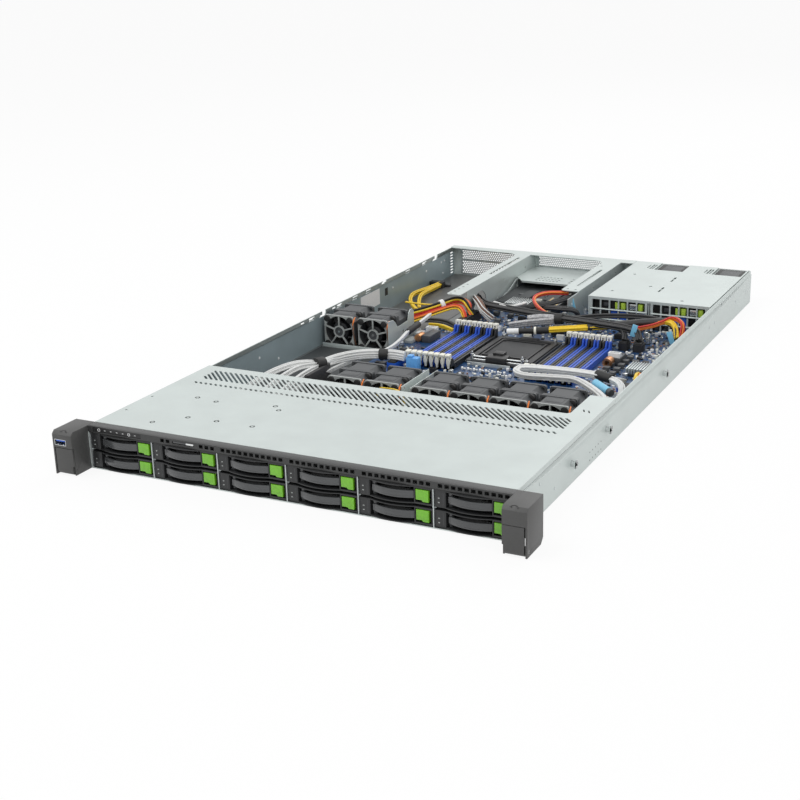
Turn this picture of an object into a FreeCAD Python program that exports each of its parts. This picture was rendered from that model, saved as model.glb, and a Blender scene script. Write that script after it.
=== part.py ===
import FreeCAD, Part
import math
import os
from FreeCAD import Vector

# Rack server, one rack unit high, top cover off. Millimetres, +Z up, +X to the right of someone facing it.
# While it is modelled, Y is counted from the front plane of the drive bays towards the rear.
# The last step moves everything along Y, so that the origin is the middle of the underside.

# Overall sizes
body_width = 438.0
ear_width = 22.3
body_height = 43.5
body_depth = 830.0
sheet = 1.0
ear_reach = 24.8
ear_back = 11.0
handle_reach = 18.0
running_gap = 0.3
bearing_gap = 0.05

# Front cover and bezel
cover_to_fans = 24.5
cover_lip = 5.0
strip_width = 26.0
strip_length = 59.5
slot_band = 26.0
slot_to_edge = 14.0
slot_pitch = 6.4
slot_width = 2.6
slot_margin = 17.5
bezel_height = 6.3
bezel_sheet = 1.2
bezel_slot_margin = 14.4
bezel_slot_height = 3.5
bezel_slot_side = 8.0

# Drive bays
columns = 6
rows = 2
divider = 0.8
bay_bottom = 1.3
row_gap = 2.4
tray_front = 1.0
tray_front_depth = 20.0
pocket_back = 9.5
tray_rail_length = 102.0
tray_rail_height = 9.0
tray_rail = 0.8
tray_wall = 1.0
tray_gap = 0.2
bulge_facets = 4
ledge_width = 1.4
ledge_height = 0.8
hinge_block = 10.8
lever_pin_y = 6.0
lever_height = 7.2
lever_thick = 3.0
lever_bulge = 4.0
lever_radius = 2.6
pin_radius = 1.0
pin_sides = 6
latch_width = 12.1
latch_room = 0.8
latch_depth = 4.0
latch_travel = 2.0
latch_stem = 4.7
latch_front = 0.8
cell_width = 15.2
cell_depth = 5.0
cell_wall = 1.2
cell_edge = 1.8
guide_side = 2.0
guide_edge = 5.6

# Fans
fan_size = 40.0
fan_length = 56.0
fan_bore = 19.0
fan_corner = 7.0
fan_flange = 3.5
rotor_hub = 10.8
rotor_tip = 18.4
blade_count = 5
blade_thick = 0.9
blade_turn = 58.0
root_chord = 11.0
tip_chord = 16.0
shaft_radius = 1.5
hub_sides = 8
bore_sides = 16
spoke_width = 2.0
spoke_depth = 3.0
boss_radius = 7.4
fans_to_board = 94.0
front_fan_pitch = 43.7
front_fan_to_wall = 56.2
fan_group_gap = 55.0
rear_fan_to_board_front = 115.0
rear_fan_pitch = 46.6
rear_fan_to_wall = 27.4

# Boards
board_bottom = 7.0
board_thick = 1.6
board_left = -86.0
board_to_wall = 7.0
board_length = 504.0
board_to_rear = 4.0
slot_length = 143.0
slot_body = 6.4
slot_step = 7.15
slot_height = 7.0
tower_height = 14.0
slot_latch = 4.0
slot_latch_height = 20.0
slots_per_bank = 8
plug_height = 11.0
bank_to_board_front = 55.0
bank_gap_left = 5.05
bank_gap_right = 9.9
socket_x = 27.5
socket_to_board_front = 146.0
socket_width = 80.0
socket_depth = 106.0
socket_side = 7.0
socket_end = 16.0
socket_frame_height = 4.0

# Power supplies and rear frames
supply_width = 73.5
supply_head = 0.9
supply_length = 185.0
supply_to_wall = 40.5
supply_pitch = 78.1
cage_side = 39.4
cage_length = 202.0
shelf_depth = 18.0
shelf_slant = 6.0
flare_radius = 14.0
screen_cells = 3
bracket_gap = 5.0
bracket_to_cage = 19.0
left_flange_width = 20.0
left_flange_length = 258.0
left_plate_length = 238.0
left_slot_start = 40.0
left_slot_length = 103.0
opening_start = 154.0
opening_width = 42.0
opening_height = 34.0
right_flange_width = 24.0
right_flange_length = 188.0
right_plate_length = 226.0
right_slot_start = 67.0
right_slot_length = 94.0
shield_length = 88.0
shield_height = 23.0
screen_to_wall = 13.0
screen_gap = 20.0
screen_lap = 2.0
window_edge = 2.5
port_low = 9.0
port_depth = 22.0
usb_width = 14.0

# Internal cables
cable_sides = 5

# Rack ears
ear_wall = 1.5
ear_plate = 3.0
flap_top = 26.8
flap_thick = 2.0
flap_gap = 0.5
flap_slit = 1.2
flap_pin_height = 4.6
flap_pin_set = 4.3
flap_notch = 5.0
roll_sides = 16
rack_hole_inset = 13.55
rack_hole_height = 21.8
rack_hole_radius = 3.4

# Slide studs on the side walls
stud_radius = 3.0
stud_reach = 4.0
stud_height = 20.5
stud_places = (138.0, 236.0, 427.0)
stud_flange = 1.6
stud_head = 1.2
stand_off_sides = 6
stand_off_radius = 3.0

half = body_width / 2
rack_half = half + ear_width
wall_inner = half - sheet
wall_top = body_height - sheet
joggle = body_height - cover_lip - running_gap
middle_y = (body_depth + handle_reach - ear_reach) / 2
rear_inside = body_depth - sheet

# The main board sits on the rear wall's ports; the fans and the front cover follow its front edge
board_top = board_bottom + board_thick
board_rear = body_depth - board_to_rear
board_front = board_rear - board_length
board_right = half - board_to_wall
front_fans_y = board_front - fans_to_board
rear_fans_y = board_front + rear_fan_to_board_front
front_fans_right = half - front_fan_to_wall - 3 * front_fan_pitch
front_fans_left = front_fans_right - fan_group_gap - front_fan_pitch
rear_fans_left = -half + rear_fan_to_wall
cover_rear = front_fans_y - cover_to_fans
strip_rear = cover_rear + strip_length
slot_side = half - slot_margin
bank_front = board_front + bank_to_board_front
socket_y = board_front + socket_to_board_front

# Two rows of trays fill the height under the bezel, and six columns the width between the walls
tray_height = (body_height - bezel_height - divider - running_gap - bay_bottom - row_gap) / rows
row_pitch = tray_height + row_gap
cage_top = bay_bottom + row_pitch + tray_height + running_gap
cage_depth = tray_front_depth + tray_rail_length + 6.0
column_pitch = (body_width - 2 * sheet + divider) / columns
tray_width = column_pitch - divider - 2 * tray_gap
lever_length = tray_width - divider - tray_wall - cell_width - cell_wall - hinge_block
latch_height = tray_height - 2 * (cell_edge + latch_room)
bezel_slot_length = column_pitch - bezel_slot_margin

# Power supplies against the right wall, and the frames beside them
supply_height = wall_top - sheet - running_gap - supply_head - running_gap
supply_left = half - supply_to_wall - supply_pitch
cage_left = supply_left - cage_side
cage_front = body_depth - cage_length
shelf_front = body_depth - shelf_depth
bracket_left = board_left - bracket_gap
bracket_right = cage_left - bracket_to_cage
screen_left = -half + screen_to_wall
# Video, two network jacks and a stack of two serial bus sockets: left side, width and height
port_places = ((board_left + 6.0, 18.0, 10.5), (board_left + 32.0, 16.0, 13.0), (board_left + 52.0, 16.0, 13.0),
               (board_left + 74.0, usb_width, 13.0))

os.makedirs("parts", exist_ok=True)


def block(x0, x1, y0, y1, z0, z1):
    return Part.makeBox(x1 - x0, y1 - y0, z1 - z0, Vector(x0, y0, z0))


def rod(radius, length, at, along):
    return Part.makeCylinder(radius, length, at, along)


def prism(points, along):
    outline = Part.makePolygon(points + points[:1])
    return Part.Face(outline).extrude(along)


def sided_rod(sides, radius, length, at, along):
    # A straight bar with flat sides, its corners on the stated radius
    across = Vector(along.y, along.z, along.x)
    other = along.cross(across)
    points = []
    for i in range(sides):
        angle = 2 * math.pi * (i + 0.5) / sides
        points.append(at + across * (radius * math.cos(angle)) + other * (radius * math.sin(angle)))
    return prism(points, along * length)


def plan(points, z0, z1):
    return prism([Vector(x, y, z0) for x, y in points], Vector(0, 0, z1 - z0))


def join(first, *others):
    return first.fuse(list(others)).removeSplitter()


def mirrored(shape):
    return shape.mirror(Vector(0, 0, 0), Vector(1, 0, 0))


def moved(shape, x, y, z):
    copy = shape.copy()
    copy.translate(Vector(x, y, z))
    return copy


def save(name, *solids):
    shape = Part.makeCompound(list(solids))
    shape.translate(Vector(0, -middle_y, 0))
    shape.exportStep("parts/" + name + ".step")


# Sheet metal tray: one folded sheet with its rear wall, rear shelf and slide studs
def side_profile():
    right = [
        (half, 0),
        (half, joggle),
        (half - sheet, joggle),
        (half - sheet, wall_top),
        (half - 2 * sheet, wall_top),
        (half - 2 * sheet, joggle - sheet),
        (wall_inner, joggle - sheet),
        (wall_inner, sheet),
    ]
    left = [(-x, z) for x, z in reversed(right)]
    return [Vector(x, 0, z) for x, z in right + left]


def wall_notches():
    # Notches with a hook for clips, and the short slots beside them, in the left wall's upper edge
    notch_width = 9.0
    notch_depth = 7.0
    hook_width = 5.0
    hook_height = 3.0
    cable_slot = 8.0
    slot_high = 2.0
    x0 = -half - sheet
    x1 = -half + 3 * sheet
    cuts = []
    for y in (board_front + 121.0, body_depth - 68.0):
        hook = wall_top - notch_depth
        cuts.append(block(x0, x1, y, y + notch_width, hook, body_height))
        cuts.append(block(x0, x1, y - hook_width, y + notch_width / 2, hook, hook + hook_height))
    for y in (board_front + 70.0, board_front + 90.0, board_front + 146.0, board_front + 160.0, body_depth - 108.0):
        cuts.append(block(x0, x1, y, y + cable_slot, wall_top - 2 * slot_high, wall_top - slot_high))
    return cuts


def corner_louvres():
    louvre_count = 9
    louvre_pitch = 4.2
    louvre_height = 2.0
    cuts = []
    for i in range(louvre_count):
        z = 4.0 + i * louvre_pitch
        if z + louvre_height < joggle - 2 * sheet:
            cuts.append(block(-half, -half + 3 * sheet, body_depth - 13.0, body_depth - board_to_rear, z,
                              z + louvre_height))
    return cuts


def rear_windows():
    y0 = body_depth - 2 * sheet
    y1 = body_depth + sheet
    cuts = []
    # Card bay windows, upper and lower, which the screens cover
    window_top = wall_top - window_edge
    left_end = bracket_left - sheet - screen_gap - screen_lap
    middle_start = bracket_left + 2 * sheet + window_edge + screen_lap
    middle_end = bracket_right - screen_gap / 2
    cuts.append(block(screen_left + screen_lap, left_end, y0, y1, window_top - 14.5, window_top))
    cuts.append(block(screen_left + screen_lap, left_end, y0, y1, 4.5, window_top - 17.5))
    cuts.append(block(middle_start, middle_end, y0, y1, window_top - 15.5, window_top))
    # Ports: video, two network jacks, two stacked serial bus sockets
    for x, width, height in port_places:
        if width > usb_width:
            cuts.append(block(x, x + width, y0, y1, port_low, port_low + height))
    usb_left = port_places[-1][0]
    for z in (port_low + 0.5, port_low + 7.5):
        cuts.append(block(usb_left, usb_left + usb_width, y0, y1, z, z + 5.6))
    # Power supply bays
    for centre in (supply_left, supply_left + supply_pitch):
        wide = supply_width / 2 + running_gap
        cuts.append(block(centre - wide, centre + wide, y0, y1, sheet, sheet + supply_height + 2 * running_gap))
    return cuts


def rail_stud(y):
    neck_sides = 8
    neck = sided_rod(neck_sides, stud_radius, stud_reach, Vector(half, y, stud_height), Vector(1, 0, 0))
    head_at = Vector(half + stud_reach, y, stud_height)
    head = rod(stud_radius + stud_flange, stud_head, head_at, Vector(1, 0, 0))
    return neck.fuse(head)


def rear_shelf():
    # Narrow shelf along the rear wall; its left end narrows towards the side wall
    left = -wall_inner
    right = cage_left - running_gap
    slant_length = 80.0
    points = [
        (left, body_depth),
        (left, shelf_front + shelf_slant),
        (left + slant_length, shelf_front),
        (right, shelf_front),
        (right, body_depth),
    ]
    return plan(points, wall_top, body_height)


def chassis_tray():
    body = prism(side_profile(), Vector(0, body_depth, 0))
    rear = block(-wall_inner, wall_inner, rear_inside, body_depth, sheet, joggle - sheet)
    rear_top = block(-half + 2 * sheet, half - 2 * sheet, rear_inside, body_depth, joggle - sheet, wall_top)
    tray = join(body, rear, rear_top, rear_shelf())
    bezel_low = body_height - bezel_height
    bezel_room = block(-half - 1, half + 1, -1, ear_back + running_gap, bezel_low, body_height + 1)
    tray = tray.cut([bezel_room] + wall_notches() + corner_louvres() + rear_windows())
    studs = [rail_stud(y) for y in stud_places]
    studs += [mirrored(stud) for stud in studs]
    # Hexagonal stand-offs that carry the main board
    for x, y in (
        (board_left + 16.0, board_front + 18.0),
        (board_left + 146.0, board_front + 18.0),
        (board_right - 12.0, board_front + 18.0),
        (board_left + 16.0, board_front + 218.0),
        (board_right - 12.0, cage_front - 18.0),
        (board_left + 16.0, board_rear - 46.0),
        (cage_left - 31.0, board_rear - 46.0),
    ):
        at = Vector(x, y, sheet)
        studs.append(sided_rod(stand_off_sides, stand_off_radius, board_bottom - sheet, at, Vector(0, 0, 1)))
    return join(tray, *studs)


# Front cover: plate with its two lips, the strip on the right and the slanted vent slots
def slanted_slot(x, y, run):
    reach = slot_width / 2 * math.sqrt(0.5)
    points = [
        (x - reach, y - reach),
        (x + reach, y + reach),
        (x - run + reach, y + run + reach),
        (x - run - reach, y + run - reach),
    ]
    return plan(points, wall_top - sheet, body_height + sheet)


def vent_slots():
    depth = slot_band
    slot_front = cover_rear - slot_to_edge - slot_band
    cuts = []
    # Each slot slants 45 degrees; the band's ends are cut off square
    count = int((2 * slot_side + depth) / slot_pitch)
    for i in range(count):
        x = -slot_side + (i + 1) * slot_pitch
        run = depth
        y = slot_front
        if x - run < -slot_side:
            run = x + slot_side
        if x > slot_side:
            y += x - slot_side
            run -= x - slot_side
            x = slot_side
        if run > slot_width / 2:
            cuts.append(slanted_slot(x, y, run))
    return cuts


def front_cover():
    front = ear_back + running_gap
    plate = block(-half, half, front, cover_rear, wall_top, body_height)
    strip = block(half - strip_width, half, cover_rear, strip_rear, wall_top, body_height)
    lip_low = body_height - cover_lip
    left_lip = block(-half, -half + sheet, front, cover_rear, lip_low, wall_top)
    right_lip = block(half - sheet, half, front, strip_rear, lip_low, wall_top)
    cover = join(plate, strip, left_lip, right_lip)
    return cover.cut(vent_slots())


# Bezel: angle along the top of the drive bays, with an air slot over each bay and a control strip on the left
def front_bezel():
    low = body_height - bezel_height
    face = block(-half, half, 0, bezel_sheet, low, body_height)
    top = block(-half, half, 0, ear_back, body_height - bezel_sheet, body_height)
    middle = low + bezel_height / 2
    side = bezel_slot_height / 2
    slots = []
    for column in range(1, columns):
        x = -wall_inner + column * column_pitch + bezel_slot_side
        slots.append(block(x, x + bezel_slot_length, -sheet, 2 * bezel_sheet, middle - side, middle + side))
    angle = join(face, top).cut(slots)
    # Control strip behind the first column: keys and lights are left to trim
    panel_left = -wall_inner + bezel_slot_side / 2
    panel_right = panel_left + bezel_slot_length
    panel = block(panel_left, panel_right, bezel_sheet, 5.0, low + 0.6, body_height - bezel_sheet)
    return join(angle, panel)


# Drive cage: comb of dividers under one top sheet, with ledges that carry the upper trays
def drive_cage():
    solids = [block(-wall_inner, wall_inner, 0, cage_depth, cage_top, cage_top + divider)]
    for k in range(columns + 1):
        x = -wall_inner + k * column_pitch - divider
        if k == 0:
            x = -wall_inner
        if k == columns:
            x = wall_inner - divider
        comb = block(x, x + divider, 0, cage_depth, sheet, cage_top)
        z = bay_bottom + row_pitch - running_gap - ledge_height
        left = x - ledge_width if k > 0 else x
        right = x + divider + ledge_width if k < columns else x + divider
        solids.append(join(comb, block(left, right, 2.0, cage_depth, z, z + ledge_height)))
    return solids


def bay_x(column):
    # Left side of the clear space in a column
    if column == 0:
        return -wall_inner + divider + tray_gap
    return -wall_inner + column * column_pitch + tray_gap


def bay_z(row):
    return bay_bottom + row * row_pitch


def bay_width(column):
    if column == 0 or column == columns - 1:
        return tray_width - divider
    return tray_width


# Drive tray: moulded front with its lever pocket and latch cell, and two thin rails behind it
def lever_x():
    return hinge_block + lever_radius + running_gap


def bulge_points(x0, x1, y):
    # The tray's lips and its lever bulge forward on the same shallow curve
    points = []
    for i in range(bulge_facets + 1):
        share = i / bulge_facets
        points.append((x0 + share * (x1 - x0), y - lever_bulge * (1 - (2 * share - 1) ** 2)))
    return points


def drive_tray(column, row):
    width = bay_width(column)
    lip_left = hinge_block
    lip_right = hinge_block + lever_length
    outline = [(0, tray_front), (lip_left, tray_front)]
    outline += bulge_points(lip_left, lip_right, tray_front)[1:-1]
    outline += [(lip_right, tray_front), (width, tray_front), (width, tray_front_depth), (0, tray_front_depth)]
    body = plan(outline, 0, tray_height)
    pocket = block(lip_left, lip_right, -lever_bulge, pocket_back, tray_wall, tray_height - tray_wall)
    cell_left = lip_right + cell_wall
    cell_right = min(cell_left + cell_width, width - tray_wall)
    cell = block(cell_left, cell_right, 0, tray_front + cell_depth, cell_edge, tray_height - cell_edge)
    guide_left = cell_left + guide_side
    guide_right = guide_left + latch_stem + latch_travel + running_gap
    guide = block(guide_left, guide_right, 0, tray_front_depth + 1, guide_edge, tray_height - guide_edge)
    # Air window through the back of the pocket, behind the lever
    window = block(lip_left + 2 * lever_radius + 1.0, lip_right - 2.0, 0, tray_front_depth + 1,
                   tray_wall + 1.0, tray_height - tray_wall - 1.0)
    # The flats of the pin's bore stand the bearing gap away from the pin
    bore_radius = (pin_radius + bearing_gap) / math.cos(math.pi / pin_sides)
    bore = sided_rod(pin_sides, bore_radius, tray_height, Vector(lever_x(), lever_pin_y, 0), Vector(0, 0, 1))
    body = body.cut([pocket, cell, guide, bore, window])
    rail_end = tray_front_depth + tray_rail_length
    left_rail = block(0, tray_rail, tray_front_depth, rail_end, 0, tray_rail_height)
    right_rail = block(width - tray_rail, width, tray_front_depth, rail_end, 0, tray_rail_height)
    return moved(join(body, left_rail, right_rail), bay_x(column), 0, bay_z(row))


# Tray lever: bulged grip that swings out on a pin at its left end, with a hook that the latch holds
def tray_lever(column, row):
    low = (tray_height - lever_height) / 2
    left = lever_x()
    right = hinge_block + lever_length - running_gap
    face = tray_front + 0.4
    back = face + lever_thick
    grip_left = left + lever_radius / 2
    outline = bulge_points(grip_left, right, face) + bulge_points(grip_left, right, back)[::-1]
    grip = plan(outline, low, low + lever_height)
    barrel_low = tray_wall + running_gap
    barrel_high = tray_height - tray_wall - running_gap
    at = Vector(left, lever_pin_y, barrel_low)
    barrel = sided_rod(pin_sides, lever_radius, barrel_high - barrel_low, at, Vector(0, 0, 1))
    pin = sided_rod(pin_sides, pin_radius, tray_height, Vector(left, lever_pin_y, 0), Vector(0, 0, 1))
    hook = block(right - 4.0, right, face + 1.0, pocket_back - 0.9, low + 1.5, low + lever_height - 1.5)
    return moved(join(grip, barrel, pin, hook), bay_x(column), 0, bay_z(row))


# Release latch: green thumb piece with its stem in the tray's guide
def tray_latch(column, row):
    cell_left = hinge_block + lever_length + cell_wall
    left = cell_left + 0.6
    low = (tray_height - latch_height) / 2
    notch = 1.4
    points = [
        (left, low + notch),
        (left + latch_width * 0.45, low + notch),
        (left + latch_width * 0.55, low),
        (left + latch_width, low),
        (left + latch_width, low + latch_height),
        (left, low + latch_height),
    ]
    thumb = prism([Vector(x, latch_front, z) for x, z in points], Vector(0, latch_depth, 0))
    stem_left = cell_left + guide_side + running_gap
    stem_low = guide_edge + running_gap
    stem = block(stem_left, stem_left + latch_stem - running_gap, latch_front + latch_depth, tray_front_depth - 2.0,
                 stem_low, tray_height - stem_low)
    return moved(join(thumb, stem), bay_x(column), 0, bay_z(row))


# Fans: square frame with one long bore, five spokes and a bearing boss in front, and two stages of blades
def fan_frame():
    size = fan_size
    cut = fan_corner
    octagon = [(cut, 0), (size - cut, 0), (size, cut), (size, size - cut), (size - cut, size), (cut, size),
               (0, size - cut), (0, cut)]
    body = prism([Vector(x, 0, z) for x, z in octagon], Vector(0, fan_length, 0))
    flanges = [block(0, size, y, y + fan_flange, 0, size) for y in (0, fan_length - fan_flange)]
    centre = size / 2
    bore_corner = fan_bore / math.cos(math.pi / bore_sides)
    bore = sided_rod(bore_sides, bore_corner, fan_length, Vector(centre, 0, centre), Vector(0, 1, 0))
    body = body.fuse(flanges).cut(bore)
    spider = [sided_rod(hub_sides, boss_radius, spoke_depth, Vector(centre, 0, centre), Vector(0, 1, 0))]
    for i in range(blade_count):
        arm = block(-spoke_width / 2, spoke_width / 2, 0, spoke_depth, 0, fan_bore + 0.5)
        arm.rotate(Vector(0, 0, 0), Vector(0, 1, 0), 360.0 / blade_count * (i + 0.25))
        arm.translate(Vector(centre, 0, centre))
        spider.append(arm)
    shaft_bore = (shaft_radius + bearing_gap) / math.cos(math.pi / pin_sides)
    hole = sided_rod(pin_sides, shaft_bore, spoke_depth, Vector(centre, 0, centre), Vector(0, 1, 0))
    return join(body, *spider).cut(hole)


def blade(pitch_sign):
    # Pitched blade, wider at its tip, with its root sunk into the hub
    turn = math.radians(blade_turn)
    corners = []
    for radius, chord in ((rotor_hub - 1.0, root_chord), (rotor_tip, tip_chord)):
        along = Vector(math.cos(turn), pitch_sign * math.sin(turn), 0) * (chord / 2)
        across = Vector(-along.y, along.x, 0).normalize() * (blade_thick / 2)
        centre = Vector(0, 0, math.sqrt(radius ** 2 - along.x ** 2))
        corners.append([centre - along - across, centre + along - across, centre + along + across,
                        centre - along + across])
    lower, upper = corners
    rings = [lower[::-1], upper]
    for i in range(4):
        j = (i + 1) % 4
        rings.append([lower[i], lower[j], upper[j], upper[i]])
    faces = [Part.Face(Part.makePolygon(ring + ring[:1])) for ring in rings]
    return Part.makeSolid(Part.makeShell(faces))


def fan_rotor():
    # The second stage sits on the same hub with its blades pitched the other way
    centre = fan_size / 2
    start = spoke_depth + 2 * running_gap
    hub_length = fan_length - 2 * start
    hub = sided_rod(hub_sides, rotor_hub, hub_length, Vector(centre, start, centre), Vector(0, 1, 0))
    vanes = []
    for stage, pitch_sign in ((0.25, 1), (0.75, -1)):
        for i in range(blade_count):
            vane = blade(pitch_sign)
            vane.rotate(Vector(0, 0, 0), Vector(0, 1, 0), 360.0 / blade_count * (i + 0.25))
            vane.translate(Vector(centre, start + stage * hub_length, centre))
            vanes.append(vane)
    shaft = sided_rod(pin_sides, shaft_radius, start + 1.0, Vector(centre, 0, centre), Vector(0, 1, 0))
    return join(hub, shaft, *vanes)


def fan_places():
    places = []
    for i in range(2):
        places.append((front_fans_left + i * front_fan_pitch, front_fans_y))
    for i in range(4):
        places.append((front_fans_right + i * front_fan_pitch, front_fans_y))
    for i in range(2):
        places.append((rear_fans_left + i * rear_fan_pitch, rear_fans_y))
    return places


# Main board, drive backplane and their connectors
def main_board():
    outline = [
        (board_left, board_front),
        (board_right, board_front),
        (board_right, cage_front - 6.0),
        (cage_left - 2.0, cage_front - 6.0),
        (cage_left - 2.0, board_rear),
        (board_left, board_rear),
    ]
    board = plan(outline, board_bottom, board_top)
    return board


def connector(x0, x1, y0, y1, height):
    return block(x0, x1, y0, y1, board_top, board_top + height)


def board_connectors():
    # Each stands at its place from the board's front edge, and the rear ports reach into the rear wall
    tall = plug_height
    low = plug_height - 2.0
    front = board_front
    ports = []
    for x, width, height in port_places:
        ports.append(connector(x + running_gap, x + width - running_gap, rear_inside - port_depth,
                               rear_inside - running_gap, port_low + height - running_gap - board_top))
    power_main = connector(board_left + 2.0, board_left + 14.0, front + 223.0, front + 275.0, tall)
    power_left = connector(board_left + 124.0, board_left + 138.0, front + 236.0, front + 250.0, tall)
    power_right = [connector(x, x + 11.0, front + 204.0, front + 218.0, tall)
                   for x in (board_left + 220.5, board_left + 238.5)]
    data_left = connector(board_left + 2.0, board_left + 13.0, front + 34.0, front + 66.0, tall)
    data_right = connector(board_right - 29.0, board_right - 15.0, front + 52.0, front + 68.0, low)
    power_side = connector(board_right - 20.0, board_right - 4.0, front + 234.0, front + 254.0, low)
    return ports + [power_main, power_left, data_left, data_right, power_side] + power_right


def backplane():
    y0 = cage_depth
    board = block(-wall_inner + 2.0, wall_inner - 2.0, y0, y0 + board_thick, sheet + running_gap, cage_top)
    holes = []
    plugs = []
    for column in range(columns):
        centre = bay_x(column) + bay_width(column) / 2
        for row in range(rows):
            z = bay_z(row)
            plugs.append(block(centre - 21.0, centre + 21.0, y0 - 5.0, y0, z + 2.0, z + 7.0))
            holes.append(block(centre - 26.0, centre + 26.0, y0 - 1, y0 + 3, z + 9.0, z + 14.0))
    return join(board.cut(holes), *plugs)


# Memory slot: long body with a tower at each end, and two tilted latches
def memory_slot():
    length = slot_length
    low = board_top
    start = slot_latch
    tower = slot_latch + 6.0
    ramp = slot_latch + 8.0
    profile = [
        (start, low),
        (length - start, low),
        (length - start, low + tower_height),
        (length - tower, low + tower_height),
        (length - ramp, low + slot_height),
        (ramp, low + slot_height),
        (tower, low + tower_height),
        (start, low + tower_height),
    ]
    body = prism([Vector(0, y, z) for y, z in profile], Vector(slot_body, 0, 0))
    latch_shape = [(0, low + slot_latch), (start, low + slot_latch), (start, low + slot_latch_height),
                   (slot_latch / 4, low + slot_latch_height)]
    inset = 0.9
    front = prism([Vector(inset, y, z) for y, z in latch_shape], Vector(slot_body - 2 * inset, 0, 0))
    rear = prism([Vector(inset, length - y, z) for y, z in latch_shape], Vector(slot_body - 2 * inset, 0, 0))
    return [body, front, rear]


def memory_slots():
    solids = []
    bank_width = (slots_per_bank - 1) * slot_step
    left_bank = socket_x - socket_width / 2 - bank_gap_left - bank_width
    right_bank = socket_x + socket_width / 2 + bank_gap_right
    for left in (left_bank, right_bank):
        for i in range(slots_per_bank):
            for piece in memory_slot():
                solids.append(moved(piece, left + i * slot_step - slot_body / 2, bank_front, 0))
    return solids


# Processor socket: steel frame, carrier plate with its protective cap, and retaining lugs
def cpu_socket():
    x0 = socket_x - socket_width / 2
    x1 = socket_x + socket_width / 2
    y0 = socket_y - socket_depth / 2
    y1 = socket_y + socket_depth / 2
    z = board_top
    rim = z + socket_frame_height
    cap = rim + 1.0
    room = block(x0 + socket_side, x1 - socket_side, y0 + socket_end, y1 - socket_end, z - 1, cap)
    frame = block(x0, x1, y0, y1, z, rim).cut(room)
    side = socket_side + 2 * running_gap
    end = socket_end + 2 * running_gap
    cap_low = block(x0 + side, x1 - side, y0 + end, y1 - end, z, cap)
    cap_top = block(x0 + side + 4.4, x1 - side - 4.4, y0 + end + 5.4, y1 - end - 5.4, cap, cap + 1.6)
    lug_front = block(socket_x - 15.0, socket_x + 15.0, y0 + 2.0, y0 + socket_end - 2.0, rim, rim + 4.0)
    lug_rear = block(socket_x - 12.0, socket_x + 12.0, y1 - socket_end + 4.0, y1 - 3.0, rim, rim + 3.0)
    posts = [sided_rod(6, 2.6, 6.0, Vector(x, y, rim), Vector(0, 0, 1))
             for x in (x0 + socket_side, x1 - socket_side) for y in (y0 + socket_side, y1 - socket_side)]
    return [join(frame, *posts), join(cap_low, cap_top), lug_front, lug_rear]


# Power supply: closed housing with its fan opening, mains inlet, handle and release tab at the rear
def power_supply(centre):
    x0 = centre - supply_width / 2
    x1 = centre + supply_width / 2
    y1 = body_depth
    y0 = y1 - supply_length
    z0 = sheet + running_gap
    z1 = z0 + supply_height
    body = block(x0, x1, y0, y1, z0, z1)
    inlet_x = x0 + 19.0
    inlet_depth = 18.0
    inlet = block(inlet_x - 13.5, inlet_x + 13.5, y1 - inlet_depth, y1 + 1, z0 + 6.0, z0 + 26.0)
    tongue = block(inlet_x - 8.0, inlet_x + 8.0, y1 - inlet_depth, y1 - 3.0, z0 + 11.0, z0 + 21.0)
    fan_x = x1 - 19.5
    fan_z = z0 + supply_height / 2
    outlet = sided_rod(bore_sides, 16.0, 8.0, Vector(fan_x, y1 - 6.0, fan_z), Vector(0, 1, 0))
    cross = [block(fan_x - 16.4, fan_x + 16.4, y1 - 3.0, y1 - 1.4, fan_z - 0.7, fan_z + 0.7),
             block(fan_x - 0.7, fan_x + 0.7, y1 - 3.0, y1 - 1.4, fan_z - 16.4, fan_z + 16.4)]
    finger = block(centre - 28.0, centre + 28.0, y0 - 9.0, y0, z0 + 4.0, z0 + 5.6)
    grip_z = z1 - 6.0
    handle = block(inlet_x - 14.0, inlet_x + 14.0, y1 + handle_reach - 5.0, y1 + handle_reach, grip_z - 6.0, grip_z)
    arms = [block(x, x + 4.0, y1, y1 + handle_reach - 5.0, grip_z - 6.0, grip_z)
            for x in (inlet_x - 14.0, inlet_x + 10.0)]
    tab = block(x0 + 2.0, x0 + 4.0, y1, y1 + 12.0, z0 + 6.0, z0 + 22.0)
    body = body.cut([inlet, outlet])
    return join(body, tongue, finger, handle, tab, *(arms + cross))


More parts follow.
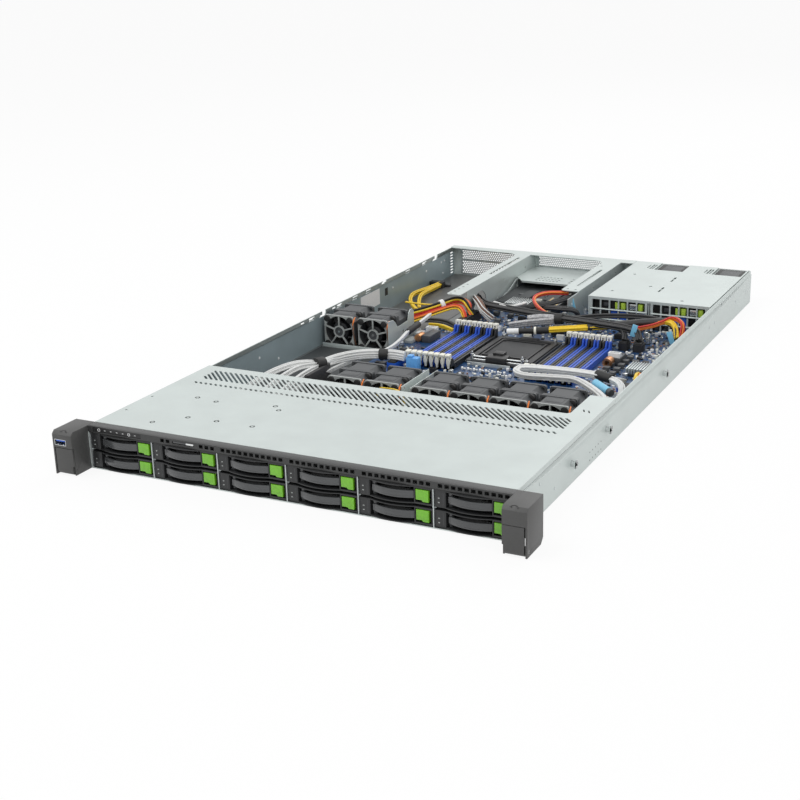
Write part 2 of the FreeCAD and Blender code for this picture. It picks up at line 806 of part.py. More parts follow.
# Frames at the rear: power supply cage with its wire guard, two card bay brackets and the port shield
def supply_cage():
    right = half - 2 * sheet - running_gap
    rear = rear_inside
    top = block(cage_left, right, cage_front, rear, wall_top, body_height)
    top = top.cut([block(centre - 3.4, centre + 35.6, rear - 40.0, rear + 1, wall_top - 1, body_height + 1)
                   for centre in (supply_left, supply_left + supply_pitch)])
    slits = [block(centre - x, centre - x + 1.6, rear - 38.0, rear - 12.0, wall_top - 1, body_height + 1)
             for centre in (supply_left, supply_left + supply_pitch) for x in (11.0, 7.6)]
    dashes = [block(centre, centre + 1.8, y, y + 12.0, wall_top - 1, body_height + 1)
              for centre in (supply_left + supply_pitch / 2 - 1.0,) for y in (cage_front + 50.0, cage_front + 106.0)]
    gap_left = supply_left + supply_width / 2
    middle = (gap_left + supply_left + supply_pitch - supply_width / 2) / 2
    middle_wall = block(middle - sheet / 2, middle + sheet / 2, cage_front + sheet, rear, sheet, wall_top)
    left_wall = block(cage_left, cage_left + sheet, cage_front + sheet, rear, sheet, wall_top)
    guard = block(cage_left, right, cage_front, cage_front + sheet, sheet, wall_top)
    openings = []
    cell_columns = 2
    cell_rows = 3
    pane_width = supply_width - 5.0
    pane_height = supply_height - 3.0
    wire = 1.2
    for centre in (supply_left, supply_left + supply_pitch):
        cell_x = (pane_width + wire) / cell_columns
        cell_z = (pane_height + wire) / cell_rows
        for i in range(cell_columns):
            for j in range(cell_rows):
                x = centre - pane_width / 2 + i * cell_x
                z = sheet + 2.0 + j * cell_z
                openings.append(block(x, x + cell_x - wire, cage_front - 1, cage_front + 2 * sheet, z, z + cell_z - wire))
    # Sheets that are spot-welded edge to face
    return [top.cut(slits + dashes), left_wall, middle_wall, guard.cut(openings)]


def shelf_flare():
    # Fillet in plan where a bracket's flange meets the rear shelf
    corner = flare_radius * (1 - math.sqrt(0.5))
    z = wall_top
    arc = Part.Arc(Vector(-flare_radius, 0, z), Vector(-corner, -corner, z), Vector(0, -flare_radius, z)).toShape()
    sides = Part.makePolygon([Vector(0, -flare_radius, z), Vector(0, 0, z), Vector(-flare_radius, 0, z)])
    return Part.Face(Part.Wire([arc] + sides.Edges)).extrude(Vector(0, 0, sheet))


def bay_bracket(x, flange_width, length, plate_length, plate_low, slot_start, slot_length, opening):
    # Lengths run forward from the rear wall; the plate stands under the flange's right edge
    plate = block(x, x + sheet, body_depth - plate_length, rear_inside, plate_low, wall_top)
    flange = block(x + sheet - flange_width, x + sheet, body_depth - length, shelf_front, wall_top, body_height)
    flare = moved(shelf_flare(), x + sheet - flange_width, shelf_front, 0)
    middle = x + sheet - flange_width * 0.45
    slot_y = body_depth - slot_start
    slot = block(middle - 1.6, middle + 1.6, slot_y - slot_length, slot_y, wall_top - 1, body_height + 1)
    if opening:
        # Cable opening with a half round top
        from_rear, width, z0, z1 = opening
        y1 = body_depth - from_rear
        y0 = y1 - width
        radius = width / 2
        arch = rod(radius, 4 * sheet, Vector(x - 1, (y0 + y1) / 2, z1 - radius), Vector(1, 0, 0))
        plate = plate.cut([block(x - 1, x + 2 * sheet, y0, y1, z0, z1 - radius), arch])
    return [plate, join(flange, flare).cut(slot)]


def port_shield():
    # Folded sheet over the rear ports, with sloping front corners
    left = bracket_left + sheet + running_gap
    right = bracket_right - running_gap
    rear = rear_inside - running_gap
    front = body_depth - shield_length
    corner_y = front + 18.0
    corner_x = left + 14.0
    outline = [(left, rear), (left, corner_y), (corner_x, front), (right, front), (right, rear)]
    plate = plan(outline, shield_height, shield_height + sheet)
    leg = block(left, left + sheet, corner_y, rear, board_top, shield_height)
    lip = block(corner_x, right, front, front + sheet, shield_height - 4.0, shield_height)
    return join(plate, leg, lip)


# Rear screens: perforated sheets behind the card bay windows
def rear_screens():
    back = rear_inside
    front = back - sheet
    screens = []
    middle_left = bracket_left + 2 * sheet + window_edge
    areas = (
        (screen_left, bracket_left - sheet - screen_gap, sheet + 2.0, wall_top - 1.0),
        (middle_left, bracket_right - screen_gap / 2 + screen_lap, shield_height + sheet + running_gap, wall_top - 1.0),
    )
    for x0, x1, z0, z1 in areas:
        screen = block(x0, x1, front, back, z0, z1)
        cuts = []
        step = (x1 - x0 - 6.0) / screen_cells
        for i in range(screen_cells):
            x = x0 + 3.5 + i * step
            cuts.append(block(x, x + step - 2.0, front - 1, back + 1, z1 - 12.5, z1 - 3.5))
            if z1 - z0 > 30.0:
                cuts.append(block(x, x + step - 2.0, front - 1, back + 1, z0 + 4.0, z0 + 16.0))
        screens.append(screen.cut(cuts))
    return screens


# Rack ears: steel plate with the rack screw hole, two walls and the fixed upper housing
def rack_ear():
    inner = half
    outer = rack_half
    plate = block(inner, outer, ear_back - ear_plate, ear_back, 0, body_height)
    inner_wall = block(inner, inner + ear_wall, -ear_reach + flap_thick + flap_gap, ear_back - ear_plate, 0, body_height)
    outer_wall = block(outer - ear_wall, outer, -ear_reach, ear_back - ear_plate, 0, body_height)
    housing = block(inner, outer, -ear_reach, ear_back - ear_plate, flap_top + flap_gap, body_height)
    bevel = 3.2
    wedge = prism([
        Vector(inner - 1, -ear_reach - 0.1, body_height - bevel),
        Vector(inner - 1, -ear_reach - 0.1, body_height + 0.1),
        Vector(inner - 1, -ear_reach + bevel, body_height + 0.1),
    ], Vector(outer - inner + 2, 0, 0))
    corner = prism([
        Vector(inner - 1, ear_back + 0.1, -0.1),
        Vector(inner - 1, ear_back + 0.1, 5.0),
        Vector(inner - 1, ear_back - 5.0, -0.1),
    ], Vector(outer - inner + 2, 0, 0))
    hollow = block(inner + ear_wall, outer - ear_wall, -ear_reach + 12.0, ear_back - ear_plate,
                   flap_top + flap_gap + 1.5, body_height - 1.5)
    hole_at = Vector(inner + rack_hole_inset, ear_back - ear_plate - 1, rack_hole_height)
    hole = rod(rack_hole_radius, ear_plate + 2, hole_at, Vector(0, 1, 0))
    bore_radius = (pin_radius + bearing_gap) / math.cos(math.pi / pin_sides)
    bore_at = Vector(inner - 1, -ear_reach + flap_pin_set, flap_pin_height)
    pin_bore = sided_rod(pin_sides, bore_radius, outer - inner + 2, bore_at, Vector(1, 0, 0))
    ear = join(plate, inner_wall, outer_wall, housing)
    return ear.cut([wedge, corner, hollow, hole, pin_bore])


def left_ear():
    ear = mirrored(rack_ear())
    outer = rack_half
    port = block(-outer + 2.2, -outer + 15.6, -ear_reach - 1, -ear_reach + 11.0, 29.6, 35.6)
    tongue = block(-outer + 3.6, -outer + 14.2, -ear_reach + 1.0, -ear_reach + 11.0, 34.2, 35.4)
    shelf = block(-outer + 3.6, -outer + 14.2, -ear_reach + 10.0, -ear_reach + 11.0, 29.6, 35.6)
    return join(ear.cut(port), tongue, shelf)


# Ear flap: front plate rolled round its pin, with two side webs behind it
def ear_flap():
    inner = half
    outer = rack_half - ear_wall - flap_slit
    front = -ear_reach
    reach = flap_pin_set
    flap_pin_y = front + flap_pin_set
    plate = block(inner, outer, front, front + flap_thick, flap_pin_height, flap_top)
    roll_left = inner + ear_wall + running_gap
    # The plate's lower corner is cut away, so that it swings past the ear's inner wall
    notch = block(inner, roll_left, front, front + flap_thick, flap_pin_height, flap_pin_height + flap_notch)
    plate = plate.cut(notch)
    roll_at = Vector(roll_left, flap_pin_y, flap_pin_height)
    roll = sided_rod(roll_sides, reach, outer - roll_left, roll_at, Vector(1, 0, 0))
    pin_at = Vector(inner, flap_pin_y, flap_pin_height)
    pin = sided_rod(pin_sides, pin_radius, rack_half - inner, pin_at, Vector(1, 0, 0))
    return join(plate, roll, pin)


# Internal cables: runs joined by tangent arcs, each arc as large as its two runs allow
def cable(points, diameter):
    places = [Vector(*p) for p in points]
    corners = []
    radii = []
    for before, here, after in zip(places, places[1:], places[2:]):
        back = before - here
        ahead = after - here
        turn = math.pi - back.getAngle(ahead)
        reach = 0.45 * min(back.Length, ahead.Length)
        radii.append(reach / math.tan(turn / 2))
        back.normalize()
        ahead.normalize()
        start = here + back * reach
        end = here + ahead * reach
        bisector = back + ahead
        bisector.normalize()
        depth = math.hypot(radii[-1], reach) - radii[-1]
        corners.append((start, here + bisector * depth, end))
    edges = []
    last = places[0]
    for start, middle, end in corners:
        edges.append(Part.LineSegment(last, start).toShape())
        edges.append(Part.Arc(start, middle, end).toShape())
        last = end
    edges.append(Part.LineSegment(last, places[-1]).toShape())
    path = Part.Wire(edges)
    heading = (places[1] - places[0]).normalize()
    across = heading.cross(Vector(0, 0, 1)).normalize()
    other = heading.cross(across)
    corner_angles = [2 * math.pi * (i + 0.5) / cable_sides for i in range(cable_sides + 1)]
    ring = [places[0] + across * (diameter / 2 * math.cos(a)) + other * (diameter / 2 * math.sin(a))
            for a in corner_angles]
    section = Part.makePolygon(ring)
    tube = path.makePipeShell([section], True, True)
    expected = Part.Face(section).Area * path.Length
    print("cable radii", [round(r, 1) for r in radii], "length", round(path.Length, 1),
          "volume ratio", round(tube.Volume / expected, 4))
    return tube


def internal_cables():
    # The routes follow the board: they start from its front and side edges, and end on its connectors
    plane = cage_depth + board_thick
    y = board_front
    left = board_left
    right = board_right
    tall = board_top + plug_height
    low = board_top + plug_height - 2.0
    data_left = cable([
        (left - 64.0, plane, 20.0),
        (left - 64.0, y - 102.0, 20.0),
        (left - 42.0, y + 40.0, 23.0),
        (left - 14.0, y + 50.0, board_top + 5.0),
        (left + 2.0, y + 50.0, board_top + 5.0),
    ], 9.0)
    power_main = cable([
        (left - 111.0, y + 282.0, 8.0),
        (left - 64.0, y + 246.0, 24.0),
        (left + 2.0, y + 249.0, 35.0),
        (left + 8.0, y + 249.0, 28.0),
        (left + 8.0, y + 249.0, tall),
    ], 10.0)
    sleeved = cable([
        (left - 54.0, y + 346.0, 8.0),
        (left - 24.0, y + 338.0, 17.0),
        (left + 76.0, y + 292.0, 19.0),
        (left + 220.0, y + 240.0, 35.0),
        (left + 244.0, y + 212.0, 34.0),
        (left + 244.0, y + 212.0, tall),
    ], 11.0)
    power_right = cable([
        (left + 138.0, y + 243.0, 14.5),
        (left + 156.0, y + 243.0, 14.5),
        (left + 236.0, y + 280.0, 24.0),
        (right - 12.0, y + 258.0, 29.0),
        (right - 12.0, y + 244.0, 28.0),
        (right - 12.0, y + 244.0, low),
    ], 9.0)
    data_right = cable([
        (right - 13.0, plane, 20.0),
        (right - 13.0, y - 142.0, 20.0),
        (right - 13.0, y - 47.0, 36.0),
        (left + 256.0, y - 8.0, 37.0),
        (left + 160.0, y - 2.0, 36.0),
        (left + 174.0, y + 31.0, 37.0),
        (right - 22.0, y + 35.0, 36.0),
        (right - 22.0, y + 59.0, 30.0),
        (right - 22.0, y + 59.0, low),
    ], 8.0)
    return [data_left, power_main, sleeved, power_right, data_right]


save("chassis_tray", chassis_tray())
save("front_cover", front_cover())
save("front_bezel", front_bezel())
save("drive_cage", *drive_cage())
save("rear_screens", *rear_screens())
left_bracket = bay_bracket(
    bracket_left, left_flange_width, left_flange_length, left_plate_length, sheet,
    left_slot_start, left_slot_length, (opening_start, opening_width, sheet + 2.0, opening_height))
right_bracket = bay_bracket(
    bracket_right, right_flange_width, right_flange_length, right_plate_length, board_top,
    right_slot_start, right_slot_length, None)
save("rear_bay_frames", *supply_cage(), *left_bracket, *right_bracket, port_shield())
save("circuit_boards", main_board(), backplane(), *board_connectors())
save("memory_slots", *memory_slots())
save("cpu_socket", *cpu_socket())
save("rack_ears", left_ear(), rack_ear())
save("ear_flap_left", mirrored(ear_flap()))
save("ear_flap_right", ear_flap())
save("internal_cables", *internal_cables())

frames = [moved(fan_frame(), x - fan_size / 2, y, sheet) for x, y in fan_places()]
save("fan_frames", *frames)
rotor = fan_rotor()
for number, (x, y) in enumerate(fan_places(), start=1):
    save("fan_rotor_" + str(number), moved(rotor, x - fan_size / 2, y, sheet))

for number, centre in enumerate((supply_left, supply_left + supply_pitch), start=1):
    save("power_supply_" + str(number), power_supply(centre))

for column in range(columns):
    for row in range(rows):
        number = str(row * columns + column + 1)
        save("drive_tray_" + number, drive_tray(column, row))
        save("tray_lever_" + number, tray_lever(column, row))
        save("tray_latch_" + number, tray_latch(column, row))
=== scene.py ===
import math
import random

import bmesh
import bpy
from mathutils import Matrix, Quaternion, Vector


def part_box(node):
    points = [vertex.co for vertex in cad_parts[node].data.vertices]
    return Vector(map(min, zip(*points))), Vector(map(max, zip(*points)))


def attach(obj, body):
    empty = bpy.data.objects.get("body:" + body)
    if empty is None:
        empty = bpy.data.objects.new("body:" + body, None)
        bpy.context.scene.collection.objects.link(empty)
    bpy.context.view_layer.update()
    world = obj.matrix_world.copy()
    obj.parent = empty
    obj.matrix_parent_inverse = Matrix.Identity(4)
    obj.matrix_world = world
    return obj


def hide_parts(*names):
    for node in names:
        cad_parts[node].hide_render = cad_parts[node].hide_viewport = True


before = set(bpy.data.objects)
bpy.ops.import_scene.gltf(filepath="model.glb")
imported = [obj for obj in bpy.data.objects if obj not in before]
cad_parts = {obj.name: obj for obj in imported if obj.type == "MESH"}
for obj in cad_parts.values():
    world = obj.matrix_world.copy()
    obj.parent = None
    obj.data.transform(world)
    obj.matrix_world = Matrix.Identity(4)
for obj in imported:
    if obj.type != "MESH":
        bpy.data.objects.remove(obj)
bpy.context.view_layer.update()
random.seed(7)

# Shapes are drawn in millimetres, with Y counted from the front plane of the drive bays
MM = 0.001
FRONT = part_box("chassis_tray")[0].y
TO_ROW = Matrix.Translation((0, FRONT, 0)) @ Matrix.Scale(MM, 4)
TO_DRAWN = TO_ROW.inverted()


def drawn_box(node):
    low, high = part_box(node)
    low = TO_DRAWN @ low
    high = TO_DRAWN @ high
    return low.x, high.x, low.y, high.y, low.z, high.z


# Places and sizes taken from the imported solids
HALF = -drawn_box("front_cover")[0]
TOP = drawn_box("front_cover")[5]
SHEET = 1.0
INSIDE_LEFT = -HALF + SHEET
WALL_TOP = TOP - SHEET
COVER_FRONT = drawn_box("front_cover")[2]
STRIP_REAR = drawn_box("front_cover")[3]
COVER_REAR = 203.5
STRIP_WIDTH = 26.0
BODY_DEPTH = drawn_box("chassis_tray")[3]
COLUMNS = 6
ROWS = 2
COLUMN_PITCH = (2 * HALF - 2 * SHEET + 0.8) / COLUMNS


# Materials: one noise drives the colour, roughness and bump of each
def finish(name, colour, rough, metal=0.0, grain=60.0, vary=0.08, bump=0.05, stretch=(1, 1, 1), coat=0.0):
    material = bpy.data.materials.new(name)
    material.use_nodes = True
    nodes = material.node_tree.nodes
    links = material.node_tree.links
    shader = nodes["Principled BSDF"]
    shader.inputs["Metallic"].default_value = metal
    shader.inputs["Coat Weight"].default_value = coat
    place = nodes.new("ShaderNodeTexCoord")
    scale = nodes.new("ShaderNodeMapping")
    scale.inputs["Scale"].default_value = stretch
    links.new(place.outputs["Object"], scale.inputs["Vector"])
    noise = nodes.new("ShaderNodeTexNoise")
    noise.inputs["Scale"].default_value = grain
    noise.inputs["Detail"].default_value = 6.0
    links.new(scale.outputs["Vector"], noise.inputs["Vector"])
    tint = nodes.new("ShaderNodeValToRGB")
    tint.color_ramp.elements[0].position = 0.3
    tint.color_ramp.elements[1].position = 0.7
    tint.color_ramp.elements[0].color = [c * (1 - vary) for c in colour] + [1]
    tint.color_ramp.elements[1].color = [min(1, c * (1 + vary)) for c in colour] + [1]
    links.new(noise.outputs["Fac"], tint.inputs["Fac"])
    links.new(tint.outputs["Color"], shader.inputs["Base Color"])
    gloss = nodes.new("ShaderNodeMapRange")
    gloss.inputs["To Min"].default_value = max(0.02, rough - 0.06)
    gloss.inputs["To Max"].default_value = min(1.0, rough + 0.06)
    links.new(noise.outputs["Fac"], gloss.inputs["Value"])
    links.new(gloss.outputs["Result"], shader.inputs["Roughness"])
    if bump:
        relief = nodes.new("ShaderNodeBump")
        relief.inputs["Strength"].default_value = bump
        relief.inputs["Distance"].default_value = 0.0003
        links.new(noise.outputs["Fac"], relief.inputs["Height"])
        links.new(relief.outputs["Normal"], shader.inputs["Normal"])
    return material


def circuit_finish(name, dark, light):
    """Solder mask: the joints of a brick pattern and the edges of a cell pattern show as paler tracks."""
    material = finish(name, dark, 0.35, 0.0, 900.0, 0.15, 0.03, coat=0.3)
    nodes = material.node_tree.nodes
    links = material.node_tree.links
    shader = nodes["Principled BSDF"]
    place = nodes["Texture Coordinate"]
    bricks = nodes.new("ShaderNodeTexBrick")
    bricks.inputs["Scale"].default_value = 110.0
    bricks.inputs["Mortar Size"].default_value = 0.022
    bricks.inputs["Color1"].default_value = (*dark, 1)
    bricks.inputs["Color2"].default_value = (*[c * 1.35 for c in dark], 1)
    bricks.inputs["Mortar"].default_value = (*light, 1)
    warp = nodes.new("ShaderNodeTexVoronoi")
    warp.distance = "CHEBYCHEV"
    warp.inputs["Scale"].default_value = 55.0
    edges = nodes.new("ShaderNodeValToRGB")
    edges.color_ramp.elements[0].position = 0.42
    edges.color_ramp.elements[1].position = 0.46
    mix = nodes.new("ShaderNodeMix")
    mix.data_type = "RGBA"
    mix.inputs["B"].default_value = (*light, 1)
    links.new(place.outputs["Object"], bricks.inputs["Vector"])
    links.new(place.outputs["Object"], warp.inputs["Vector"])
    links.new(warp.outputs["Distance"], edges.inputs["Fac"])
    links.new(edges.outputs["Color"], mix.inputs["Factor"])
    links.new(bricks.outputs["Color"], mix.inputs["A"])
    links.new(mix.outputs["Result"], shader.inputs["Base Color"])
    return material


ZINC = finish("zinc_steel", (0.555, 0.61, 0.595), 0.40, 0.25, 35.0, 0.035, 0.03)
ZINC_BRUSHED = finish("zinc_brushed", (0.56, 0.60, 0.60), 0.34, 0.6, 60.0, 0.08, 0.04, (1, 14, 1))
STEEL = finish("bright_steel", (0.62, 0.64, 0.64), 0.25, 0.9, 90.0, 0.10, 0.04, (6, 1, 1))
# Darker copies of the zinc for the inner walls, the left wall's lip and the floor: painted shade, lighter at
# the lip where more light falls
INNER_LIP_SHADE = finish("painted_lip_shade", (0.38, 0.425, 0.414), 0.40, 0.3, 35.0, 0.05, 0.03)
INNER_WALL_SHADE = finish("painted_wall_shade", (0.357, 0.441, 0.469), 0.36, 0.3, 35.0, 0.06, 0.03)
INNER_FLOOR_SHADE = finish("painted_floor_shade", (0.17, 0.18, 0.18), 0.36, 0.4, 30.0, 0.10, 0.03)
DARK_SHEET = finish("dark_sheet", (0.045, 0.05, 0.052), 0.66, 0.0, 40.0, 0.15, 0.05)
BEZEL = finish("bezel_paint", (0.040, 0.041, 0.041), 0.42, 0.1, 700.0, 0.12, 0.10)
EAR = finish("ear_plastic", (0.062, 0.062, 0.061), 0.48, 0.0, 1500.0, 0.10, 0.20)
TRAY = finish("tray_plastic", (0.020, 0.021, 0.022), 0.42, 0.0, 1400.0, 0.15, 0.12)
LEVER = finish("lever_plastic", (0.056, 0.059, 0.062), 0.24, 0.0, 900.0, 0.10, 0.04, coat=0.4)
GREEN = finish("latch_green", (0.168, 0.48, 0.021), 0.30, 0.0, 500.0, 0.07, 0.05, coat=0.3)
CIRCUIT = circuit_finish("board_blue", (0.008, 0.038, 0.115), (0.020, 0.080, 0.21))
SLOT_BLUE = finish("slot_blue", (0.030, 0.105, 0.56), 0.38, 0.0, 700.0, 0.10, 0.05)
SLOT_BLACK = finish("slot_black", (0.014, 0.015, 0.018), 0.38, 0.0, 700.0, 0.15, 0.05)
CREAM = finish("cream_plastic", (0.86, 0.85, 0.76), 0.40, 0.0, 500.0, 0.05, 0.04)
WHITE = finish("white_plastic", (0.85, 0.86, 0.86), 0.36, 0.0, 500.0, 0.04, 0.03)
GOLD = finish("contact_gold", (0.80, 0.58, 0.22), 0.25, 1.0, 900.0, 0.12, 0.02)
FAN_GREY = finish("fan_plastic", (0.060, 0.064, 0.068), 0.50, 0.0, 900.0, 0.12, 0.10)
FAN_PALE = finish("fan_spoke", (0.36, 0.38, 0.37), 0.45, 0.0, 600.0, 0.08, 0.05)
ROTOR = finish("rotor_plastic", (0.020, 0.021, 0.023), 0.34, 0.0, 900.0, 0.12, 0.04)
RUBBER = finish("rubber_black", (0.012, 0.012, 0.012), 0.60, 0.0, 1200.0, 0.15, 0.10)
CHIP = finish("chip_black", (0.018, 0.018, 0.019), 0.45, 0.0, 1500.0, 0.15, 0.08)
PORT_BLUE = finish("port_blue", (0.012, 0.10, 0.55), 0.35, 0.0, 600.0, 0.06, 0.03)
LIME = finish("connector_lime", (0.42, 0.60, 0.06), 0.40, 0.0, 600.0, 0.06, 0.03)
TAG_BLUE = finish("tag_blue", (0.14, 0.42, 0.85), 0.40, 0.0, 400.0, 0.06, 0.03)
BRAID = finish("braided_sleeve", (0.42, 0.42, 0.43), 0.45, 0.3, 500.0, 0.35, 0.25, (1, 0.2, 1))
SLEEVE = finish("black_sleeve", (0.030, 0.030, 0.031), 0.48, 0.0, 700.0, 0.30, 0.20)
GUNMETAL = finish("gunmetal", (0.085, 0.09, 0.098), 0.46, 0.5, 300.0, 0.12, 0.04)
COPPER = finish("copper_parts", (0.62, 0.30, 0.14), 0.32, 0.9, 500.0, 0.10, 0.03)
BAY_SHEET = finish("bay_sheet", (0.115, 0.115, 0.112), 0.40, 0.1, 40.0, 0.15, 0.05)
CLIP_BLUE = finish("clip_blue", (0.22, 0.56, 0.78), 0.40, 0.0, 400.0, 0.06, 0.03)
WIRE_WHITE = finish("wire_white", (0.74, 0.75, 0.74), 0.45, 0.0, 300.0, 0.05, 0.03)
WIRE_YELLOW = finish("wire_yellow", (0.85, 0.58, 0.02), 0.42, 0.0, 300.0, 0.05, 0.03)
WIRE_RED = finish("wire_red", (0.60, 0.03, 0.02), 0.42, 0.0, 300.0, 0.05, 0.03)
WIRE_BROWN = finish("wire_brown", (0.20, 0.105, 0.07), 0.5, 0.0, 300.0, 0.15, 0.05)
CAP = finish("cap_black", (0.032, 0.033, 0.035), 0.62, 0.0, 900.0, 0.12, 0.06)
WIRE_ORANGE = finish("wire_orange", (0.85, 0.22, 0.02), 0.42, 0.0, 300.0, 0.05, 0.03)


# Mesh helpers
def linked(name, data):
    """A new object that is in the scene."""
    made = bpy.data.objects.new(name, data)
    bpy.context.collection.objects.link(made)
    return made


def soften(part, edges, offset, **more):
    bmesh.ops.bevel(part, geom=edges, offset=offset, segments=2, profile=0.5, affect="EDGES", **more)


def turned_to(direction):
    """The turn that lays the Z axis along a direction."""
    return direction.to_track_quat("Z", "Y").to_matrix().to_4x4()


class Shape:
    """One piece under construction, drawn in millimetres. Each part that is added keeps its own finish."""

    def __init__(self):
        self.mesh = bmesh.new()
        self.finishes = []

    def add(self, part, material, move=None):
        if material not in self.finishes:
            self.finishes.append(material)
        index = self.finishes.index(material)
        for face in part.faces:
            face.material_index = index
        if move is not None:
            part.transform(move)
            if move.determinant() < 0:
                bmesh.ops.reverse_faces(part, faces=part.faces[:])
        carrier = bpy.data.meshes.new("carrier")
        part.to_mesh(carrier)
        part.free()
        self.mesh.from_mesh(carrier)
        bpy.data.meshes.remove(carrier)

    def box(self, x0, x1, y0, y1, z0, z1, material, soft=0.3, move=None):
        part = bmesh.new()
        size = Vector((x1 - x0, y1 - y0, z1 - z0))
        middle = Vector((x0 + x1, y0 + y1, z0 + z1)) / 2
        bmesh.ops.create_cube(part, size=1.0, matrix=Matrix.Translation(middle) @ Matrix.Diagonal((*size, 1)))
        if soft:
            soften(part, part.edges[:], min(soft, 0.3 * min(size)))
        self.add(part, material, move)

    def block(self, x, y, half_x, half_y, z0, z1, material, soft=0.3, move=None):
        """A box round a middle in the plan."""
        self.box(x - half_x, x + half_x, y - half_y, y + half_y, z0, z1, material, soft, move)

    def rod(self, start, end, radius, material, sides=24, soft=0.0, move=None):
        part = bmesh.new()
        start = Vector(start)
        end = Vector(end)
        place = Matrix.Translation((start + end) / 2) @ turned_to(end - start)
        bmesh.ops.create_cone(part, cap_ends=True, segments=sides, radius1=radius, radius2=radius,
                              depth=(end - start).length, matrix=place)
        if soft:
            rims = [e for e in part.edges if any(len(f.verts) > 4 for f in e.link_faces)]
            soften(part, rims, soft)
        self.add(part, material, move)

    def slab(self, points, z0, z1, material, soft=0.0, move=None):
        """A prism over a plan outline, with its rims softened."""
        part = bmesh.new()
        low = [part.verts.new((x, y, z0)) for x, y in points]
        face = part.faces.new(low)
        made = bmesh.ops.extrude_face_region(part, geom=[face])
        lifted = [v for v in made["geom"] if isinstance(v, bmesh.types.BMVert)]
        bmesh.ops.translate(part, verts=lifted, vec=(0, 0, z1 - z0))
        bmesh.ops.recalc_face_normals(part, faces=part.faces[:])
        if soft:
            rims = [e for e in part.edges if abs(e.verts[0].co.z - e.verts[1].co.z) < 1e-6]
            soften(part, rims, soft)
        self.add(part, material, move)

    def sheet(self, loops, thick, material, move=None):
        """A flat sheet at Z from 0 to its thickness: the first loop is its outline, the others are holes."""
        curve = bpy.data.curves.new("outline", "CURVE")
        curve.dimensions = "2D"
        curve.fill_mode = "BOTH"
        curve.extrude = thick / 2
        for loop in loops:
            spline = curve.splines.new("POLY")
            spline.points.add(len(loop) - 1)
            for point, (x, y) in zip(spline.points, loop):
                point.co = (x, y, 0, 1)
            spline.use_cyclic_u = True
        carrier = bpy.data.objects.new("outline", curve)
        made = bpy.data.meshes.new_from_object(carrier)
        part = bmesh.new()
        part.from_mesh(made)
        bmesh.ops.remove_doubles(part, verts=part.verts[:], dist=1e-4)
        bmesh.ops.translate(part, verts=part.verts[:], vec=(0, 0, thick / 2))
        bpy.data.objects.remove(carrier)
        bpy.data.curves.remove(curve)
        bpy.data.meshes.remove(made)
        self.add(part, material, move)

    def ring(self, start, end, outer, inner, material, sides=32):
        start = Vector(start)
        end = Vector(end)
        place = Matrix.Translation(start) @ turned_to(end - start)
        loops = [circle(0, 0, outer, sides), circle(0, 0, inner, sides)]
        self.sheet(loops, (end - start).length, material, place)

    def copy_of(self, node, material, soft=0.0):
        """The node's own solid with its sharp edges softened."""
        part = bmesh.new()
        part.from_mesh(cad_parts[node].data)
        part.transform(TO_DRAWN)
        bmesh.ops.remove_doubles(part, verts=part.verts[:], dist=1e-3)
        bmesh.ops.dissolve_limit(part, angle_limit=math.radians(1), verts=part.verts[:], edges=part.edges[:])
        if soft:
            sharp = [e for e in part.edges if len(e.link_faces) == 2
                     and e.calc_face_angle() > math.radians(40)]
            soften(part, sharp, soft, clamp_overlap=True)
        self.add(part, material)

    def cut(self, cutter):
        """Takes the volume of another shape out of all that is drawn so far."""
        holders = []
        for shape in (self, cutter):
            carrier = bpy.data.meshes.new("carrier")
            shape.mesh.to_mesh(carrier)
            holders.append(linked("carrier", carrier))
        step = holders[0].modifiers.new("cut", "BOOLEAN")
        step.object = holders[1]
        step.solver = "EXACT"
        step.use_self = True
        solved = holders[0].evaluated_get(bpy.context.evaluated_depsgraph_get())
        result = bpy.data.meshes.new_from_object(solved)
        self.mesh.clear()
        self.mesh.from_mesh(result)
        for holder in holders:
            carrier = holder.data
            bpy.data.objects.remove(holder)
            bpy.data.meshes.remove(carrier)
        bpy.data.meshes.remove(result)
        cutter.mesh.free()

    def repaint(self, chosen, material):
        """Gives another finish to the faces that a test picks by their middle and their normal."""
        if material not in self.finishes:
            self.finishes.append(material)
        index = self.finishes.index(material)
        self.mesh.normal_update()
        for face in self.mesh.faces:
            if chosen(face.calc_center_median(), face.normal):
                face.material_index = index

    def done(self, name, body, *nodes, slot=None):
        mesh = bpy.data.meshes.new(name)
        self.mesh.transform(TO_ROW)
        self.mesh.to_mesh(mesh)
        self.mesh.free()
        for material in self.finishes:
            mesh.materials.append(material)
        for polygon in mesh.polygons:
            polygon.use_smooth = True
        mesh.set_sharp_from_angle(angle=math.radians(32))
        piece = linked(name, mesh)
        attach(piece, body)
        if nodes:
            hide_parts(*nodes)


def arc(x, y, radius, start, turn, steps):
    """Points on a circle from one angle on through a turn, both in radians."""
    points = []
    for i in range(steps + 1):
        angle = start + turn * i / steps
        points.append((x + radius * math.cos(angle), y + radius * math.sin(angle)))
    return points


def circle(x, y, radius, sides=24):
    return arc(x, y, radius, 0, 2 * math.pi, sides)[:-1]


def rectangle(x0, x1, y0, y1):
    return [(x0, y0), (x1, y0), (x1, y1), (x0, y1)]


def rounded(x0, x1, y0, y1, radius, steps=5):
    points = []
    for cx, cy, start in ((x1 - radius, y0 + radius, -90), (x1 - radius, y1 - radius, 0),
                          (x0 + radius, y1 - radius, 90), (x0 + radius, y0 + radius, 180)):
        for i in range(steps):
            angle = math.radians(start + 90 * i / (steps - 1))
            points.append((cx + radius * math.cos(angle), cy + radius * math.sin(angle)))
    return points


def long_slot(x0, y0, x1, y1, radius, steps=5):
    """A slot with round ends between two points."""
    heading = math.atan2(y1 - y0, x1 - x0)
    points = []
    for x, y, start in ((x1, y1, heading - math.pi / 2), (x0, y0, heading + math.pi / 2)):
        points += arc(x, y, radius, start, math.pi, steps - 1)
    return points


def raised(z):
    return Matrix.Translation((0, 0, z))


